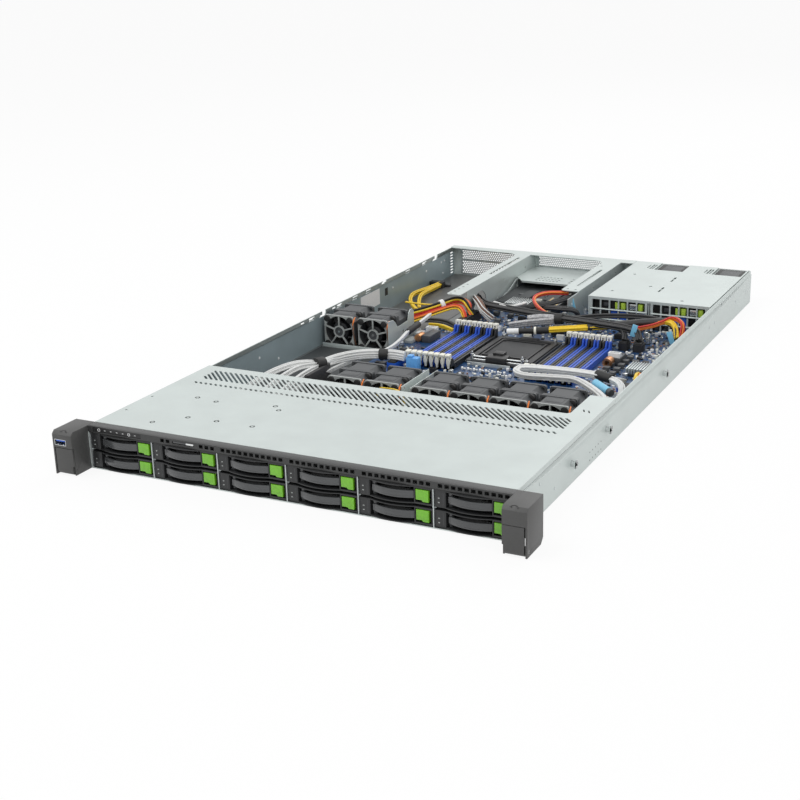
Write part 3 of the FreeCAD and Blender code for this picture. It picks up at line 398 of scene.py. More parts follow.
def upright_x(y):
    """Turns a sheet drawn as X and Z into one that stands across the body, its face towards the front."""
    return Matrix.Translation((0, y, 0)) @ Matrix(((1, 0, 0, 0), (0, 0, 1, 0), (0, 1, 0, 0), (0, 0, 0, 1)))


def upright_y(x):
    """Turns a sheet drawn as Y and Z into one that stands along the body, its face towards +X."""
    return Matrix.Translation((x, 0, 0)) @ Matrix(((0, 0, 1, 0), (1, 0, 0, 0), (0, 1, 0, 0), (0, 0, 0, 1)))


def wires(name, body, routes, radius, material, nodes=()):
    """Round wires on smooth splines, one per route."""
    curve = bpy.data.curves.new(name, "CURVE")
    curve.dimensions = "3D"
    curve.bevel_depth = radius * MM
    curve.bevel_resolution = 2
    curve.resolution_u = 6
    curve.use_fill_caps = True
    for route in routes:
        spline = curve.splines.new("NURBS")
        spline.points.add(len(route) - 1)
        for point, place in zip(spline.points, route):
            point.co = (*(TO_ROW @ Vector(place)), 1)
        spline.order_u = 3
        spline.use_endpoint_u = True
    curve.materials.append(material)
    piece = linked(name, curve)
    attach(piece, body)
    if nodes:
        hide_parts(*nodes)


# Casing
SLOT_FRONT = 163.5
SLOT_REAR = 189.5
SLOT_PITCH = 6.4
SLOT_SIDE = 201.5
SLOT_RADIUS = 1.3
DASH_HALF = 1.5
DASH_RADIUS = 1.25
JOGGLE = 37.6
DASH_Y = 149.5
DASH_PITCH = 6.1


def cover_slots():
    loops = []
    depth = SLOT_REAR - SLOT_FRONT
    for i in range(int((2 * SLOT_SIDE + depth) / SLOT_PITCH)):
        x = -SLOT_SIDE + (i + 1) * SLOT_PITCH
        y = SLOT_FRONT
        run = depth
        if x - run < -SLOT_SIDE:
            run = x + SLOT_SIDE
        if x > SLOT_SIDE:
            y += x - SLOT_SIDE
            run -= x - SLOT_SIDE
            x = SLOT_SIDE
        if run > 2:
            loops.append(long_slot(x, y, x - run, y + run, SLOT_RADIUS))
    for i in range(int(2 * SLOT_SIDE / DASH_PITCH)):
        x = -SLOT_SIDE + 3 + i * DASH_PITCH
        loops.append(long_slot(x + DASH_HALF, DASH_Y - DASH_HALF, x - DASH_HALF, DASH_Y + DASH_HALF,
                               DASH_RADIUS))
    return loops


# Slot pairs of the left wall: their places, how far each reaches along the wall, and the slots' heights
PAIR_PLACES = (418, 486, 527, 563, 677, 729)
PAIR_REACH = (-6, 7)
PAIR_JOINT = (-6.5, -4.8)
PAIR_UPPER = (39.8, 41.1)
PAIR_LOWER = (36.4, 37.6)
WALL_RIVETS = ((633, 27), (736, 26), (785, 27.6), (796, 28), (790, 11), (300, 24), (340, 12))


def make_tray_casing():
    """The tray's own solid, with the lanced slot pairs and the middle hook notch cut in the left wall."""
    casing = Shape()
    casing.copy_of("chassis_tray", ZINC)
    cutter = Shape()
    outside = -HALF - 2
    inside = -HALF + 3
    for y in PAIR_PLACES:
        for reach, low, high in ((PAIR_REACH, *PAIR_UPPER), (PAIR_REACH, *PAIR_LOWER),
                                 (PAIR_JOINT, PAIR_LOWER[0], PAIR_UPPER[1])):
            cutter.box(outside, inside, y + reach[0], y + reach[1], low, high, ZINC, 0)
    cutter.box(outside, inside, 604, 613, 40.2, TOP + 1, ZINC, 0)
    cutter.box(outside, inside, 600, 608, 39, 41.4, ZINC, 0)
    casing.cut(cutter)
    inner = HALF - 2.5
    # Inner faces of both walls and of the floor take the darker zinc copies as painted shade; the left wall's
    # lip above the joggle takes a lighter painted shade
    casing.repaint(lambda middle, normal: middle.x < -inner and normal.x > 0.5, INNER_WALL_SHADE)
    casing.repaint(lambda middle, normal: middle.x > inner and normal.x < -0.5, INNER_WALL_SHADE)
    casing.repaint(lambda middle, normal: middle.x < -inner and normal.x > 0.5 and middle.z > JOGGLE,
                   INNER_LIP_SHADE)
    casing.repaint(lambda middle, normal: middle.z < 2 and normal.z > 0.5 and abs(middle.x) < HALF - 0.5,
                   INNER_FLOOR_SHADE)
    # Blank label, rivets and marks on the inner side of the left wall
    casing.box(INSIDE_LEFT, INSIDE_LEFT + 0.15, 543, 595, 14, 35, WHITE, 0)
    casing.box(INSIDE_LEFT, INSIDE_LEFT + 0.2, 610, 618, 21, 31, RUBBER, 0)
    for y, z in WALL_RIVETS:
        casing.rod((INSIDE_LEFT - 0.2, y, z), (INSIDE_LEFT + 0.5, y, z), 1.5, WHITE, 16, soft=0.2)
    casing.done("casing_tray", "chassis", "chassis_tray", slot="zinc_steel")


def make_drive_cage():
    """The cage's own solid: bright dividers, and a front edge of the top sheet that lies in the dark, painted
    black as painted shade.
    """
    cage = Shape()
    cage.copy_of("drive_cage", ZINC_BRUSHED)
    high = drawn_box("drive_cage")[5]
    # Black rubber finish on the top sheet's front edge is painted shade
    cage.repaint(lambda middle, normal: middle.z > high - 1.6 and middle.y < 6, RUBBER)
    cage.done("bay_cage", "chassis", "drive_cage", slot="zinc_steel")


def make_cover():
    cover = Shape()
    outline = [(-HALF, COVER_FRONT), (HALF, COVER_FRONT), (HALF, STRIP_REAR),
               (HALF - STRIP_WIDTH, STRIP_REAR), (HALF - STRIP_WIDTH, COVER_REAR + 3),
               (HALF - STRIP_WIDTH - 3, COVER_REAR), (-HALF, COVER_REAR)]
    screws = ((-166.4, 31.2), (-142.3, 55.2), (-110.3, 56.6), (-70.5, 57), (-71.6, 106.3), (-80.9, 115.2),
              (-143.5, 104.8), (-168, 108.5))
    holes = [circle(x, y, 1.3, 14) for x, y in ((-213, 94), (-212.4, 51))]
    holes += [long_slot(x, y, x - 2.4, y + 5, 0.8) for x, y in ((204, 214), (209.5, 213))]
    cover.sheet([outline] + cover_slots() + holes, SHEET, ZINC, raised(WALL_TOP))
    for x, y in screws:
        cover.ring((x, y, TOP - 0.04), (x, y, TOP), 2.6, 1.5, ZINC_BRUSHED, 20)
        cover.rod((x, y, TOP - 0.3), (x, y, TOP - 0.02), 1.5, STEEL, 16)
    for x, y in ((-182, 20), (-120, 32), (10, 20), (96, 46), (128, 92), (150, 30), (20, 120)):
        cover.rod((x, y, TOP - 0.3), (x, y, TOP - 0.01), 1, RUBBER, 14)
    lip_low = drawn_box("front_cover")[4]
    cover.box(-HALF, INSIDE_LEFT, COVER_FRONT, COVER_REAR, lip_low, WALL_TOP, ZINC, 0.2)
    cover.box(HALF - SHEET, HALF, COVER_FRONT, STRIP_REAR, lip_low, WALL_TOP, ZINC, 0.2)
    # Folded rear edge of the strip
    cover.box(HALF - STRIP_WIDTH, HALF - STRIP_WIDTH + 4, STRIP_REAR - 6, STRIP_REAR, WALL_TOP - 1.5,
              WALL_TOP, ZINC, 0.2)
    cover.done("cover_plate", "chassis", "front_cover", slot="zinc_steel")


HOLE = 3.5
HOLE_WIDE = 4.2
HOLE_PITCH = 6.15
HOLES_A_BAY = 11
BAY_MARGIN = 4.2
TAB_WIDTH = 24
CONTROL_WIDTH = 56
CONTROL_HALF = 2.2
KEYS = 7
KEY_PITCH = 7
BEZEL_LOW = drawn_box("front_bezel")[4]
BEZEL_BACK = drawn_box("front_bezel")[3]


def make_bezel():
    bezel = Shape()
    middle = (BEZEL_LOW + TOP) / 2
    holes = []
    for column in range(1, COLUMNS):
        start = INSIDE_LEFT + column * COLUMN_PITCH + BAY_MARGIN
        for i in range(HOLES_A_BAY):
            x = start + i * HOLE_PITCH
            if column == 1 and i not in (1, 2, 8, 9, 10):
                continue
            holes.append(rounded(x, x + HOLE_WIDE, middle - HOLE / 2, middle + HOLE / 2, 0.3, 2))
    tab = INSIDE_LEFT + COLUMN_PITCH + BAY_MARGIN + 3.2 * HOLE_PITCH
    holes.append(rectangle(tab, tab + TAB_WIDTH, middle - 1.3, middle + 1.3))
    control_left = INSIDE_LEFT + 5
    control_right = control_left + CONTROL_WIDTH
    holes.append(rectangle(control_left, control_right, middle - CONTROL_HALF, middle + CONTROL_HALF))
    face = [rectangle(-HALF, HALF, BEZEL_LOW, TOP)] + holes
    bezel.sheet(face, 1.2, BEZEL, upright_x(0))
    bezel.box(-HALF, HALF, 0.6, BEZEL_BACK, TOP - 1.2, TOP, BEZEL, 0.35)
    bezel.box(tab + 0.4, tab + 23.6, 0.4, 8, middle - 0.9, middle + 0.9, LEVER, 0.3)
    bezel.box(tab + 15, tab + 23, 0.15, 0.6, middle - 0.8, middle + 0.8, WHITE, 0.1)
    # Black sheet behind the vent holes of the bays: painted shade that makes the holes dark
    bezel.box(INSIDE_LEFT + COLUMN_PITCH, HALF - 2, 4.4, 5.2, BEZEL_LOW + 0.4, TOP - 1.3, RUBBER, 0)
    # Control strip: keys and light windows behind a black lens
    bezel.box(control_left, control_right, 0.4, 4, middle - CONTROL_HALF, middle + CONTROL_HALF, CHIP, 0.3)
    for i in range(KEYS):
        x = control_left + KEY_PITCH + i * KEY_PITCH
        if i in (0, 5):
            bezel.ring((x, 0.42, middle), (x, 0.18, middle), 1.5, 1.1, WHITE, 20)
            bezel.rod((x, 0.42, middle), (x, 0.15, middle), 0.9, LEVER, 18)
        else:
            bezel.box(x - 0.8, x + 0.8, 0.15, 0.6, middle - 0.25, middle + 0.25, WHITE, 0.1)
    bezel.done("bezel_angle", "chassis", "front_bezel", slot="bezel_paint")


FLAP_PIN_Y = -20.5
FLAP_PIN_Z = 4.6


def make_ears():
    ears = Shape()
    ears.copy_of("rack_ears", EAR, 0.5)
    x0, x1, y0, y1, z0, z1 = drawn_box("rack_ears")
    # Serial bus socket in the left ear: steel liner and its blue tongue
    port_left = x0 + 2.2
    port_right = x0 + 15.6
    liner = [rounded(port_left, port_right, 29.6, 35.6, 0.6, 3),
             rounded(port_left + 0.5, port_right - 0.5, 30.1, 35.1, 0.4, 3)]
    ears.sheet(liner, 9, STEEL, upright_x(y0 + 0.02))
    ears.box(port_left + 1.4, port_right - 1.4, y0 + 0.6, y0 + 9, 33.4, 35.2, PORT_BLUE, 0.2)
    for x in (port_left + 3, port_right - 4):
        ears.box(x, x + 1, y0 + 0.4, y0 + 3, 30.1, 30.8, STEEL, 0.1)
    # Half-round thumb mark on top of each ear
    for x in ((x0 - HALF) / 2 + 1, (x1 + HALF) / 2 - 1):
        band = arc(x, 0, 3.6, 0, math.pi, 12) + arc(x, 0, 2.6, 0, math.pi, 12)[::-1]
        ears.sheet([band], 0.1, RUBBER, Matrix.Translation((0, y0 + 1.2, z1 - 0.1)))
    # Screws that hold each ear to the body, seen from the side
    for side in (-1, 1):
        for z in (9, 34):
            ears.rod((side * (HALF + 1.4), -4, z), (side * (HALF + 2), -4, z), 2.4, STEEL, 20, soft=0.2)
    ears.done("ear_housings", "chassis", "rack_ears", slot="bezel_paint")
    for side, sign, edge in (("left", -1, 0), ("right", 1, 1)):
        flap = Shape()
        node = "ear_flap_" + side
        flap.copy_of(node, EAR, 0.45)
        outer = drawn_box(node)[edge]
        flap.rod((outer - sign * 0.5, FLAP_PIN_Y, FLAP_PIN_Z), (outer, FLAP_PIN_Y, FLAP_PIN_Z), 1.25, STEEL,
                 18)
        flap.done(node + "_cover", node, node, slot="bezel_paint")


# Drive bays
LIP_LEFT = 10.8
LEVER_LENGTH = 42.6
LEVER_HEIGHT = 7.2
LIP_RIGHT = LIP_LEFT + LEVER_LENGTH
BULGE = 4
TRAY_FRONT = 1
POCKET_BACK = 9.5
LEVER_X = 13.7
LEVER_Y = 6
CELL_WALL = 1.2
CELL_WIDTH = 15.4
CELL_EDGE = 1.8
BAY_BOTTOM = 1.3
ROW_PITCH = 18.6
BACKPLANE = 128


def bulge_line(x0, x1, y, steps=18):
    points = []
    for i in range(steps + 1):
        share = i / steps
        points.append((x0 + share * (x1 - x0), y - BULGE * (1 - (2 * share - 1) ** 2)))
    return points


def make_tray(number):
    node = "drive_tray_" + str(number)
    x0, x1, y0, y1, z0, z1 = drawn_box(node)
    width = x1 - x0
    height = z1 - z0
    depth = 20
    at = Matrix.Translation((x0, 0, z0))
    tray = Shape()
    tray.box(0, LIP_LEFT, TRAY_FRONT, depth, 0, height, TRAY, 0.5, at)
    lip = bulge_line(LIP_LEFT - 0.2, LIP_RIGHT + 0.2, TRAY_FRONT)
    lip += [(LIP_RIGHT + 0.2, depth), (LIP_LEFT - 0.2, depth)]
    tray.slab(lip, 0, 1, TRAY, 0.3, at)
    tray.slab(lip, height - 1, height, TRAY, 0.3, at)
    # Back of the lever pocket with its air slots
    slots = []
    for i in range(6):
        left = LIP_LEFT + 6.4 + i * 5.7
        for low in (2.2, 9.3):
            slots.append(rounded(left, left + 4.5, low, low + 4.7, 0.5, 3))
    tray.sheet([rectangle(LIP_LEFT - 0.2, LIP_RIGHT + 0.2, 0.5, height - 0.5)] + slots, 1.6, TRAY,
               at @ upright_x(POCKET_BACK))
    # Latch cell: a frame round the green latch
    cell_left = LIP_RIGHT + CELL_WALL
    cell_right = min(cell_left + CELL_WIDTH, width - 1)
    tray.box(LIP_RIGHT, cell_left, TRAY_FRONT, depth, 0, height, TRAY, 0.3, at)
    tray.box(cell_right, width, TRAY_FRONT, depth, 0, height, TRAY, 0.3, at)
    for low in (0, height - CELL_EDGE):
        tray.box(cell_left - 0.2, cell_right + 0.2, TRAY_FRONT, depth, low, low + CELL_EDGE, TRAY, 0.3, at)
    tray.box(cell_left - 0.2, cell_right + 0.2, TRAY_FRONT + 5.6, TRAY_FRONT + 6.6, 1, height - 1, TRAY,
             0.2, at)
    # Light windows and a moulded groove on the left block
    for low in (4.2, 8.2):
        tray.box(3.4, 5, TRAY_FRONT - 0.12, TRAY_FRONT + 1, low, low + 1, FAN_PALE, 0.15, at)
    tray.box(8.2, 8.6, TRAY_FRONT - 0.1, TRAY_FRONT + 1, 2, height - 2, LEVER, 0.1, at)
    # Rails
    for left in (0, width - 0.8):
        tray.box(left, left + 0.8, depth, y1, 0, 9, ZINC_BRUSHED, 0.2, at)
        inner = left if left == 0 else left - 2.2
        tray.box(inner, inner + 3, depth, y1, 0, 0.8, ZINC_BRUSHED, 0.2, at)
    tray.done(node + "_front", node, node, slot="tray_plastic")


def make_lever(number):
    node = "tray_lever_" + str(number)
    tray = drawn_box("drive_tray_" + str(number))
    height = tray[5] - tray[4]
    at = Matrix.Translation((tray[0], 0, tray[4]))
    lever = Shape()
    left = LEVER_X + 1.3
    right = LIP_RIGHT - 0.3
    face = TRAY_FRONT + 0.4
    low = (height - LEVER_HEIGHT) / 2
    outline = bulge_line(left, right, face) + bulge_line(left, right, face + 3)[::-1]
    lever.slab(outline, low, low + LEVER_HEIGHT, LEVER, 0.7, at)
    ridge = bulge_line(left + 1, right - 1, face - 0.25) + bulge_line(left + 1, right - 1, face + 0.6)[::-1]
    for z in (low + 1.1, low + 5.5):
        lever.slab(ridge, z, z + 0.6, LEVER, 0.15, at)
    barrel_low = 1.3
    lever.rod((LEVER_X, LEVER_Y, barrel_low), (LEVER_X, LEVER_Y, height - barrel_low), 2.55, LEVER, 28,
              soft=0.3, move=at)
    lever.rod((LEVER_X, LEVER_Y, 0.05), (LEVER_X, LEVER_Y, height - 0.05), 1, STEEL, 18, move=at)
    lever.box(LEVER_X - 1, left + 2, face + 0.6, LEVER_Y + 1, low + 0.6, low + 6.6, LEVER, 0.4, at)
    lever.box(right - 4, right - 0.1, face + 1, POCKET_BACK - 0.9, low + 1.5, low + 5.7, LEVER, 0.4, at)
    lever.done(node + "_bar", node, node, slot="lever_plastic")


def make_latch(number):
    node = "tray_latch_" + str(number)
    x0, x1, y0, y1, z0, z1 = drawn_box(node)
    width = x1 - x0
    height = z1 - z0
    depth = 4
    latch = Shape()
    outline = [(0, 1.4), (width * 0.45, 1.4), (width * 0.55, 0), (width, 0), (width, height), (0, height)]
    at = Matrix.Translation((x0, y0 + depth, z0))
    stand = Matrix(((1, 0, 0, 0), (0, 0, -1, 0), (0, 1, 0, 0), (0, 0, 0, 1)))
    latch.slab(outline, 0, depth, GREEN, 0.45, at @ stand)
    for i in range(3):
        x = x0 + 2.6 + i * 2
        latch.box(x, x + 0.8, y0 - 0.02, y0 + 0.8, z0 + 3.2, z1 - 1.6, GREEN, 0.2)
    latch.box(x0 + 2, x0 + 6, y0 + depth - 0.2, y1, z0 + 3.2, z1 - 3.2, GREEN, 0.3)
    latch.done(node + "_thumb", node, node, slot="latch_green")


# Fans
FAN = 40
FAN_COUNT = 8
FAN_LENGTH = 56
BORE = 19
HUB = 10.8
TIP = 18.3
BLADES = 5
FAN_CENTRE = 21
CORNER_INSET = 4.2
CORNER_HOLE = 2.1
FRONT_SHEET = 2.2


def fan_places():
    places = []
    for k in range(1, FAN_COUNT + 1):
        box = drawn_box("fan_rotor_" + str(k))
        places.append(((box[0] + box[1]) / 2, box[2]))
    return places


def make_fans():
    fans = Shape()
    spread = FAN / 2 - CORNER_INSET
    for x, y in fan_places():
        low = FAN_CENTRE - FAN / 2
        high = FAN_CENTRE + FAN / 2
        square = rounded(x - FAN / 2, x + FAN / 2, low, high, 2.6, 4)
        corners = [circle(x + sx * spread, FAN_CENTRE + sz * spread, CORNER_HOLE, 12) for sx in (-1, 1)
                   for sz in (-1, 1)]
        bore = circle(x, FAN_CENTRE, BORE, 40)
        fans.sheet([square, bore] + corners, FRONT_SHEET, FAN_PALE, upright_x(y))
        fans.sheet([square, bore] + corners, 1.6, FAN_GREY, upright_x(y + FRONT_SHEET))
        for start, thick in ((24.6, 3.2), (28.2, 3.2), (FAN_LENGTH - 3.6, 3.6)):
            fans.sheet([square, bore] + corners, thick, FAN_GREY, upright_x(y + start))
        cut = 7.4
        half = FAN / 2 - 0.6
        octagon = []
        for sx, sz, first in ((1, 1, 0), (-1, 1, 1), (-1, -1, 0), (1, -1, 1)):
            pair = [(x + sx * half, FAN_CENTRE + sz * (half - cut)),
                    (x + sx * (half - cut), FAN_CENTRE + sz * half)]
            octagon += pair[::-1] if first else pair
        fans.sheet([octagon, bore], FAN_LENGTH - 4, FAN_GREY, upright_x(y + 3))
        # Guard: five spokes between the bearing ring and the bore
        fans.ring((x, y, FAN_CENTRE), (x, y + FRONT_SHEET, FAN_CENTRE), 7.4, 5.7, FAN_PALE, 32)
        fans.rod((x, y + 0.9, FAN_CENTRE), (x, y + 3, FAN_CENTRE), 5.8, FAN_GREY, 32)
        for i in range(BLADES):
            turn = Matrix.Rotation(2 * math.pi * i / BLADES, 4, "Y")
            place = Matrix.Translation((x, y, FAN_CENTRE)) @ turn
            fans.box(-0.9, 0.9, 0.1, 2.3, 6.8, BORE + 0.4, FAN_PALE, 0.3, place)
        # Rubber pins through the corners
        for sx in (-1, 1):
            for sz in (-1, 1):
                px = x + sx * (spread - 0.2)
                pz = FAN_CENTRE + sz * (spread - 0.2)
                fans.rod((px, y - 1.6, pz), (px, y + 0.2, pz), 3.9, RUBBER, 22, soft=0.5)
                fans.rod((px, y + FAN_LENGTH - 0.2, pz), (px, y + FAN_LENGTH + 1.4, pz), 3.6, RUBBER, 22,
                         soft=0.5)
        fans.rod((x + spread, y + 20.6, FAN_CENTRE + spread), (x + spread, y + 24.6, FAN_CENTRE + spread),
                 3.9, RUBBER, 22, soft=0.4)
        # Flat boss on top
        fans.box(x - 9, x + 9, y + 9, y + 20, high - 0.7, high - 0.35, FAN_GREY, 0.2)
    fans.done("fan_housings", "chassis", "fan_frames", slot="fan_plastic")


def blade(part, centre, start, phase, sign):
    """One curved blade: two layers of a grid between the hub and the tip."""
    rows = 5
    steps = 8
    layers = []
    for side in (-0.4, 0.4):
        grid = []
        for j in range(rows + 1):
            radius = HUB - 0.6 + (TIP - HUB + 0.6) * j / rows
            chord = 11 + 5 * j / rows
            ring = []
            for i in range(steps + 1):
                s = i / steps - 0.5
                camber = 1.3 * (1 - 4 * s * s)
                angle = phase + (sign * (s * chord * 0.72) + camber + side) / radius + 0.05 * j
                ring.append(part.verts.new((centre.x + radius * math.sin(angle), start + s * chord * 0.72,
                                            centre.z + radius * math.cos(angle))))
            grid.append(ring)
        layers.append(grid)
    back, front = layers
    for j in range(rows):
        for i in range(steps):
            part.faces.new((back[j][i], back[j][i + 1], back[j + 1][i + 1], back[j + 1][i]))
            part.faces.new((front[j][i], front[j + 1][i], front[j + 1][i + 1], front[j][i + 1]))
    for j in range(rows):
        for i in (0, steps):
            part.faces.new((back[j][i], back[j + 1][i], front[j + 1][i], front[j][i]))
    for j in (0, rows):
        for i in range(steps):
            part.faces.new((back[j][i], back[j][i + 1], front[j][i + 1], front[j][i]))


def make_rotor(number):
    node = "fan_rotor_" + str(number)
    box = drawn_box(node)
    centre = Vector(((box[0] + box[1]) / 2, 0, FAN_CENTRE))
    y = box[2]
    rotor = Shape()
    rotor.rod((centre.x, y + 3.6, FAN_CENTRE), (centre.x, y + FAN_LENGTH - 3.6, FAN_CENTRE), HUB, ROTOR, 40,
              soft=0.8)
    rotor.rod((centre.x, y + 0.2, FAN_CENTRE), (centre.x, y + 4.2, FAN_CENTRE), 1.45, STEEL, 18)
    blades = bmesh.new()
    for sign, start in ((1, 15.8), (-1, 40.2)):
        for i in range(BLADES):
            blade(blades, centre, y + start, 2 * math.pi * (i + 0.4) / BLADES, sign)
    bmesh.ops.recalc_face_normals(blades, faces=blades.faces[:])
    rotor.add(blades, ROTOR)
    rotor.done(node + "_blades", node, node, slot="rotor_plastic")


# Memory slots and processor socket
BOARD_TOP = 8.6
BOARD_THICK = 1.6
SLOT_LENGTH = 143
SLOT_BODY = 6.4
SLOT_STEP = 7.15
BANKS = ((-67.6, 0), (77.4, 1))
BANK_FRONT = 377
SLOTS_A_BANK = 8
TOWER_SIDE = ((0, 0), (8, 0), (8, 7), (5.6, 14), (0, 14))
LATCH_LEAN = 6
LATCH_SIDE = [(1, -9), (1.1, -5.5), (2.1, -3), (2.1, 0.2), (1.4, 2.2), (1.4, 5)]


def make_memory():
    banks = Shape()
    low = BOARD_TOP
    for first, odd in BANKS:
        for i in range(SLOTS_A_BANK):
            x = first + i * SLOT_STEP
            plastic = SLOT_BLUE if (i + odd) % 2 == 0 else SLOT_BLACK
            left = x - SLOT_BODY / 2 + 0.05
            y0 = BANK_FRONT
            y1 = BANK_FRONT + SLOT_LENGTH
            banks.box(left, left + SLOT_BODY - 0.1, y0 + 4, y1 - 4, low, low + 5, plastic, 0.3)
            for rib in (left, left + SLOT_BODY - 2.5):
                banks.box(rib, rib + 2.4, y0 + 10.5, y1 - 10.5, low + 4.5, low + 7, plastic, 0.35)
            banks.box(x - 0.75, x + 0.75, y0 + 11, y1 - 11, low + 4.8, low + 5.6, GOLD, 0)
            banks.box(x - 1.2, x + 1.2, y0 + 76, y0 + 78.4, low + 4.8, low + 6.9, plastic, 0.2)
            for end, sign in ((y0 + 4, 1), (y1 - 4, -1)):
                points = [(end + sign * a, low + b) for a, b in TOWER_SIDE]
                for rib in (left, left + SLOT_BODY - 2.1):
                    banks.slab(points, 0, 2, plastic, 0.25, upright_y(rib))
                banks.box(left + 1, left + SLOT_BODY - 1.1, *sorted((end, end + sign * 3)), low, low + 11,
                          plastic, 0.2)
                # Latch: two cheeks, a bridge and a thumb ledge, leaning outwards
                turn = Matrix.Rotation(sign * math.radians(LATCH_LEAN), 4, "X")
                lean = Matrix.Translation((x, end, low + 12)) @ turn
                waist = LATCH_SIDE + [(-a, b) for a, b in LATCH_SIDE[::-1]]
                stand = upright_x(min(-sign * 3.4, -sign * 0.2))
                banks.slab(waist, 0, 3.2, CREAM, 0.4, lean @ stand)
                banks.box(-2.9, 2.9, *sorted((-sign * 3.8, sign * 2.6)), 4.6, 7.6, CREAM, 0.6, lean)
                for cheek in (-2.6, 1.4):
                    banks.box(cheek, cheek + 1.2, *sorted((-sign * 0.4, sign * 2.6)), -1, 5, CREAM, 0.3, lean)
    banks.done("memory_banks", "chassis", "memory_slots", slot="slot_plastic")


def make_socket():
    x0, x1, y0, y1, z0, z1 = drawn_box("cpu_socket")
    socket = Shape()
    plate = [rounded(x0, x1, y0, y1, 3), rounded(x0 + 9, x1 - 9, y0 + 17, y1 - 17, 1.5)]
    for sx in (x0 + 6, x1 - 6):
        for sy in (y0 + 7, y1 - 7):
            plate.append(circle(sx, sy, 2.4, 16))
    socket.sheet(plate, 2.4, GUNMETAL, raised(z0 + 1.6))
    rails = [rounded(x0 + 1.5, x1 - 1.5, y0 + 10, y1 - 10, 2), rounded(x0 + 8, x1 - 8, y0 + 16, y1 - 16, 1.5)]
    socket.sheet(rails, 2, CHIP, raised(z0 + 4))
    # Carrier with its protective cap
    socket.box(x0 + 9.4, x1 - 9.4, y0 + 17.4, y1 - 17.4, z0 + 0.2, z0 + 4.8, CHIP, 0.6)
    rim = [rounded(x0 + 11, x1 - 11, y0 + 20, y1 - 20, 2),
           rounded(x0 + 13.4, x1 - 13.4, y0 + 22.6, y1 - 22.6, 1.4)]
    socket.sheet(rim, 1.8, CHIP, raised(z0 + 4.7))
    socket.box(x0 + 13, x1 - 13, y0 + 22.4, y1 - 22.4, z0 + 4.6, z0 + 5.3, CAP, 0.3)
    for sx in (x0 + 16, x1 - 16):
        for sy in (y0 + 26, y1 - 26):
            socket.ring((sx, sy, z0 + 5.2), (sx, sy, z0 + 5.7), 1.8, 1.2, CAP, 20)
    middle = (x0 + x1) / 2
    # Lever cap, its rods, the tall front posts and the front lip
    cap_left = middle - 14
    cap_right = middle + 11
    socket.box(cap_left, cap_right, y0 - 3, y0 + 13, z0 + 3, z0 + 11, CHIP, 1)
    socket.box(cap_left + 5, cap_right - 7, y0 + 8, y0 + 19, z0 + 7, z0 + 13.4, CHIP, 0.8)
    socket.box(cap_left + 7, cap_right - 9, y0 - 3.2, y0 - 2.6, z0 + 5.6, z0 + 6.8, RUBBER, 0.1)
    socket.box(cap_left + 6.4, cap_left + 8, y0 + 7, y0 + 8.4, z0 + 12, z0 + 13.4, RUBBER, 0.1)
    for z in (5.4, 9):
        socket.rod((x0 + 8, y0 + 2, z0 + z), (cap_left + 0.6, y0 + 2, z0 + z), 0.9, STEEL, 14)
        socket.rod((cap_right - 0.6, y0 + 2, z0 + z), (x1 - 8, y0 + 2, z0 + z), 0.9, STEEL, 14)
    for x in (x0 + 8, x1 - 10):
        socket.rod((x, y0 + 2, z0), (x, y0 + 2, z0 + 12), 1.9, STEEL, 20, soft=0.3)
        socket.rod((x, y0 + 2, z0 + 11.8), (x, y0 + 2, z0 + 14.6), 1, STEEL, 14, soft=0.3)
    socket.box(x0 + 5, x1 - 22, y0 - 7, y0 - 5.8, z0, z0 + 4.6, ZINC_BRUSHED, 0.3)
    socket.rod((x0 - 1, y0 + 4, z0 + 1.4), (x0 + 8, y0 - 2, z0 + 1.4), 1.2, ZINC_BRUSHED, 14)
    socket.box(middle - 12, middle + 12, y1 - 13, y1 - 3, z0 + 4, z0 + 6.8, CHIP, 0.7)
    for sx in (x0 + 3, x1 - 3):
        socket.rod((sx, y0 + 12, z0 + 4.8), (sx, y1 - 12, z0 + 4.8), 0.8, STEEL, 14)
    for sx in (x0 + 7, x1 - 7):
        for sy in (y0 + 7, y1 - 7):
            socket.rod((sx, sy, z0 + 0.2), (sx, sy, z0 + 9), 2.3, STEEL, 22, soft=0.3)
            socket.rod((sx, sy, z0 + 8.8), (sx, sy, z0 + 9.9), 1.3, STEEL, 14, soft=0.2)
    socket.done("processor_socket", "chassis", "cpu_socket", slot="socket_steel")


# Boards: main board, drive backplane, their connectors and small parts
BOARD_LEFT = -86
BOARD_RIGHT = 212
BOARD_FRONT = 322
BOARD_REAR = 826
NOTCH_X = 59
NOTCH_Y = 622
SIDE_LEFT = -118
SIDE_SPAN = (362, 538)
PORTS = ((-80, 18, 10.5), (-54, 16, 13), (-34, 16, 13), (-12, 14, 13))
POWER_PLUGS = ((-84, -72, 545, 597, 11), (38, 52, 558, 572, 11), (134.5, 145.5, 526, 540, 11),
               (152.5, 163.5, 526, 540, 11), (192, 208, 556, 576, 9))
DATA_PLUGS = ((-84, -73, 356, 388, 11), (183, 197, 374, 390, 9))
KEEP_CLEAR = [(-74, -11, 374, 523), (71, 134, 374, 523), (-15, 70, 412, 524),
              (-92, 6, 740, 830)]


def keep_clear(x, y, reach):
    KEEP_CLEAR.append((x - reach, x + reach, y - reach, y + reach))


def free(x, y, size):
    left = SIDE_LEFT if SIDE_SPAN[0] < y - size and y + size < SIDE_SPAN[1] else BOARD_LEFT
    inside_x = x - size >= left + 1 and x + size <= BOARD_RIGHT - 1
    inside_y = y - size >= BOARD_FRONT + 1 and y + size <= BOARD_REAR - 1
    if not (inside_x and inside_y):
        return False
    if x + size > NOTCH_X - 1 and y + size > NOTCH_Y - 1:
        return False
    for x0, x1, y0, y1 in KEEP_CLEAR + [plug[:4] for plug in POWER_PLUGS + DATA_PLUGS]:
        if x0 - size < x < x1 + size and y0 - size < y < y1 + size:
            return False
    return True


